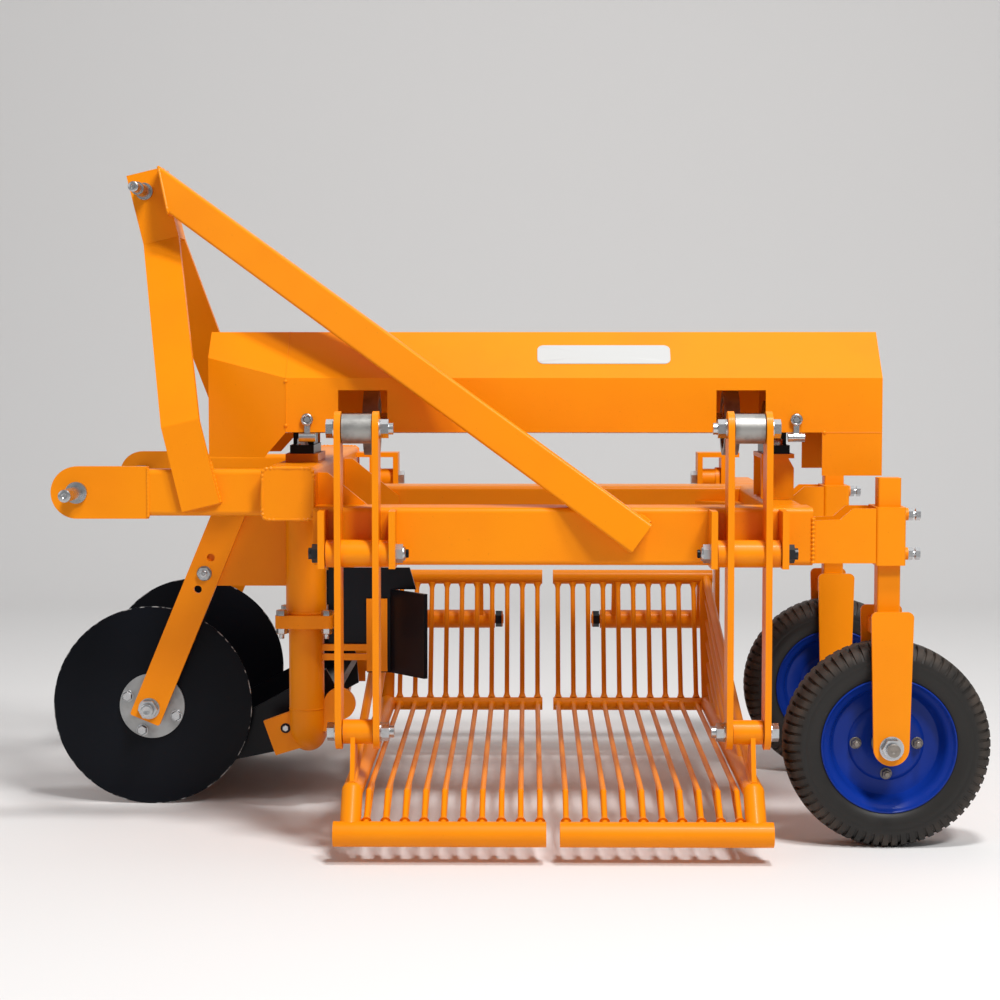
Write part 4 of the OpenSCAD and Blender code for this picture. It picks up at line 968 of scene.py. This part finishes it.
class DIGGER_OT_hood_seams(bpy.types.Operator):
    """Draw the hood's folded seams with their tack welds"""

    bl_idname = "digger.hood_seams"
    bl_label = "Hood seams"

    # X of the front seam and of the rear notch, in mm from the datum
    NOSE_X, NOTCH_X = -438, 531

    def execute(self, context):
        lo, hi = corners("shaft_hood")
        wall, nose, notch = lo[1], at(self.NOSE_X, 0, 0)[0], at(self.NOTCH_X, 0, 0)[0]
        seams = [
            line((nose, wall, HOOD_EDGE), (nose, wall, HOOD_FOLD)),
            line((nose, wall, HOOD_FOLD), (nose, wall + HOOD_BEVEL, hi[2])),
            line((notch, wall, HOOD_EDGE), (hi[0] - 0.001, wall, HOOD_EDGE)),
        ]
        for n, path in enumerate(seams):
            painted(f"hood_seam_{n + 1}", swept(path[None], 0.0008, 8), "frame")
        spots = np.array([(nose, wall, HOOD_EDGE + 0.012), (nose, wall, HOOD_FOLD - 0.006),
                          (notch + 0.004, wall, HOOD_EDGE)])
        dome = [(0, 0.0034), (0.0008, 0.0032), (0.0015, 0.0024), (0.0019, 0.0011)]
        painted("hood_tack_welds", turned(spots, (0, -1, 0), dome, 16), "frame")
        return {"FINISHED"}


class DIGGER_OT_pin_tips(bpy.types.Operator):
    """Centre-drill the tips of the hitch pins and axles"""

    bl_idname = "digger.pin_tips"
    bl_label = "Pin tips"

    # Y of the disc arm bolts' outer ends, in mm from the datum
    ARM_ENDS = (-62, 596)

    def execute(self, context):
        pins, top = corners("lower_link_pins"), corners("top_link_pin")
        wheel, disc = middle("left_tyre"), middle("left_disc")
        link, pin = at(*LINK_PIN), at(*TOP_PIN)
        self.tips("link_pin_tips", "frame", [(link[0], end[1], link[2]) for end in pins], 0.011)
        self.tips("top_pin_tip", "frame", [(pin[0], top[0][1], pin[2])], 0.0095)
        stubs = corners("disc_axles")
        self.tips("disc_axle_tips", "frame", [(disc[0], end[1], disc[2]) for end in stubs], 0.012)
        arm_ends = [at(x, y, z) for x, z in ARM_BOLTS for y in self.ARM_ENDS]
        self.tips("arm_bolt_tips", "frame", arm_ends, 0.0072)
        for side, end in (("left", 0), ("right", 1)):
            spot = (wheel[0], corners(side + "_axle")[end][1], wheel[2])
            self.tips(side + "_axle_tip", side + "_post", [spot], 0.012, "dull_steel_and_painted_shade")
        return {"FINISHED"}

    @staticmethod
    def tips(name, body, spots, r, metal="zinc_plate"):
        """Ring with a hollow centre on each end, facing away from the middle plane."""
        spots = np.array(spots)
        axes = np.stack([0 * spots[:, 1], np.sign(spots[:, 1] - HITCH_Y), 0 * spots[:, 1]], 1)
        h = 0.0014
        hollow = [(0, r * 0.97), (h * 0.5, r * 0.97), (h, r * 0.85), (h, r * 0.42), (h * 0.2, r * 0.3)]
        plated(name, turned(spots, axes, hollow, 28), body, metal)


class DIGGER_OT_plates(bpy.types.Operator):
    """Lay the blank plate on the hood's bevel"""

    bl_idname = "digger.plates"
    bl_label = "Blank plate"

    # X of its middle in mm from the datum, then its width, height, thickness and corner
    MID_X, PLATE = 138, (0.242, 0.048, 0.0012, 0.012)

    def execute(self, context):
        lo, hi = corners("shaft_hood")
        slope = np.array([0, HOOD_BEVEL, hi[2] - HOOD_FOLD])
        v = slope / np.linalg.norm(slope)
        u = np.array([1.0, 0, 0])
        bevel = np.array([at(self.MID_X, 0, 0)[0], lo[1] + HOOD_BEVEL / 2, (HOOD_FOLD + hi[2]) / 2])
        rows = plate_skin(bevel + np.cross(u, v) * 0.0002, u, v, *self.PLATE)
        plated("blank_hood_plate", rows, "frame", "blank_plate_white", smooth=30)
        return {"FINISHED"}


class DIGGER_OT_stage(bpy.types.Operator):
    """Set the floor, the backdrop, the lamps and the camera"""

    bl_idname = "digger.stage"
    bl_label = "Stage"

    # each lamp's name, place, aim, size and power
    LAMPS = (
        ("key", (2.3, -4.6, 5.3), (0.0, 0.0, 0.5), 1.3, 245.0),
        ("steep", (0.9, -1.9, 4.6), (0.0, 0.1, 0.5), 0.7, 120.0),
        ("fill", (-4.2, -3.8, 2.6), (-0.1, 0.0, 0.5), 3.4, 28.0),
        ("top", (0.4, 1.6, 4.4), (0.0, 0.0, 0.3), 3.6, 30.0),
    )
    # the camera's place in mm from the datum, its dip and turn in degrees, and its lens
    EYE, DIP, TURN, LENS = (0, -4222, 844), 3.53, 0.72, 79.92

    def execute(self, context):
        scene = bpy.context.scene
        self.floor()
        for lamp in self.LAMPS:
            self.lamp(*lamp)
        world = bpy.data.worlds.new("studio")
        world.use_nodes = True
        sky = world.node_tree.nodes["Background"]
        sky.inputs["Color"].default_value = (0.97, 0.975, 1.0, 1)
        sky.inputs["Strength"].default_value = 0.28
        scene.world = world
        lens = bpy.data.cameras.new("camera")
        lens.lens, lens.sensor_width = self.LENS, 36.0
        lens.clip_start, lens.clip_end = 0.05, 100.0
        camera = in_scene("camera", lens)
        camera.location = at(*self.EYE)
        camera.rotation_euler = (math.radians(90 - self.DIP), 0.0, math.radians(self.TURN))
        scene.camera = camera
        scene.view_settings.view_transform = "Standard"
        return {"FINISHED"}

    @staticmethod
    def floor():
        """Floor that turns up into a backdrop: z is 0 up to the bend, then a quarter circle, then upright."""
        y_bend, radius, half = 3.4, 1.6, 9.0
        t = np.linspace(0, TAU / 4, 24)
        flat = [-7.0, -3.0, 0.0, y_bend]
        y = np.concatenate([flat, y_bend + radius * np.sin(t[1:]), [y_bend + radius]])
        z = np.concatenate([np.zeros(len(flat)), radius * (1 - np.cos(t[1:])), [7.0]])
        x = np.linspace(-half, half, 5)
        points = np.stack(np.broadcast_arrays(x[:, None], y[None, :], z[None, :]), -1).reshape(-1, 3)
        n = len(y)
        i, j = np.meshgrid(np.arange(len(x) - 1), np.arange(n - 1), indexing="ij")
        a = (i * n + j).ravel()
        obj = smooth_mesh("floor", points, np.stack([a, a + n, a + n + 1, a + 1], 1).tolist())
        f = Finish("studio_floor", (0.78, 0.77, 0.76), 0.9)
        f.bump(f.noise(90.0, 4.0), 0.05, 0.002)
        obj.data.materials.append(f.material)

    @staticmethod
    def lamp(name, place, aim, size, power):
        data = bpy.data.lights.new(name, "AREA")
        data.shape, data.size, data.energy = "DISK", size, power
        obj = in_scene(name, data)
        obj.location = place
        way = np.array(aim) - np.array(place)
        flat = math.hypot(way[0], way[1])
        obj.rotation_euler = (math.atan2(flat, -way[2]), 0.0, math.atan2(way[1], way[0]) - TAU / 4)


class DIGGER_PT_panel(bpy.types.Panel):
    """Shows the digger's colours and sizes, and a button for each step"""

    bl_label = "Potato Digger"
    bl_idname = "DIGGER_PT_panel"
    bl_space_type = "VIEW_3D"
    bl_region_type = "UI"
    bl_category = "Digger"

    def draw(self, context):
        column = self.layout.column()
        for group, kind in ((paints(), DiggerPaint), (sizes(), DiggerSizes)):
            for name in kind.__annotations__:
                column.prop(group, name)
        for step in STEPS:
            column.operator(step.bl_idname)


STEPS = (
    DIGGER_OT_finishes, DIGGER_OT_tyres, DIGGER_OT_rims, DIGGER_OT_discs, DIGGER_OT_frame_welds,
    DIGGER_OT_sieve_welds, DIGGER_OT_fasteners, DIGGER_OT_hood_seams, DIGGER_OT_pin_tips, DIGGER_OT_plates,
    DIGGER_OT_stage,
)
CLASSES = (DiggerPaint, DiggerSizes, *STEPS, DIGGER_PT_panel)


def register():
    for kind in CLASSES:
        bpy.utils.register_class(kind)
    bpy.types.Scene.digger_paint = bpy.props.PointerProperty(type=DiggerPaint)
    bpy.types.Scene.digger_sizes = bpy.props.PointerProperty(type=DiggerSizes)


def unregister():
    del bpy.types.Scene.digger_sizes
    del bpy.types.Scene.digger_paint
    for kind in reversed(CLASSES):
        bpy.utils.unregister_class(kind)


def main():
    register()
    for step in STEPS:
        group, name = step.bl_idname.split(".")
        getattr(getattr(bpy.ops, group), name)()


if __name__ == "__main__":
    main()
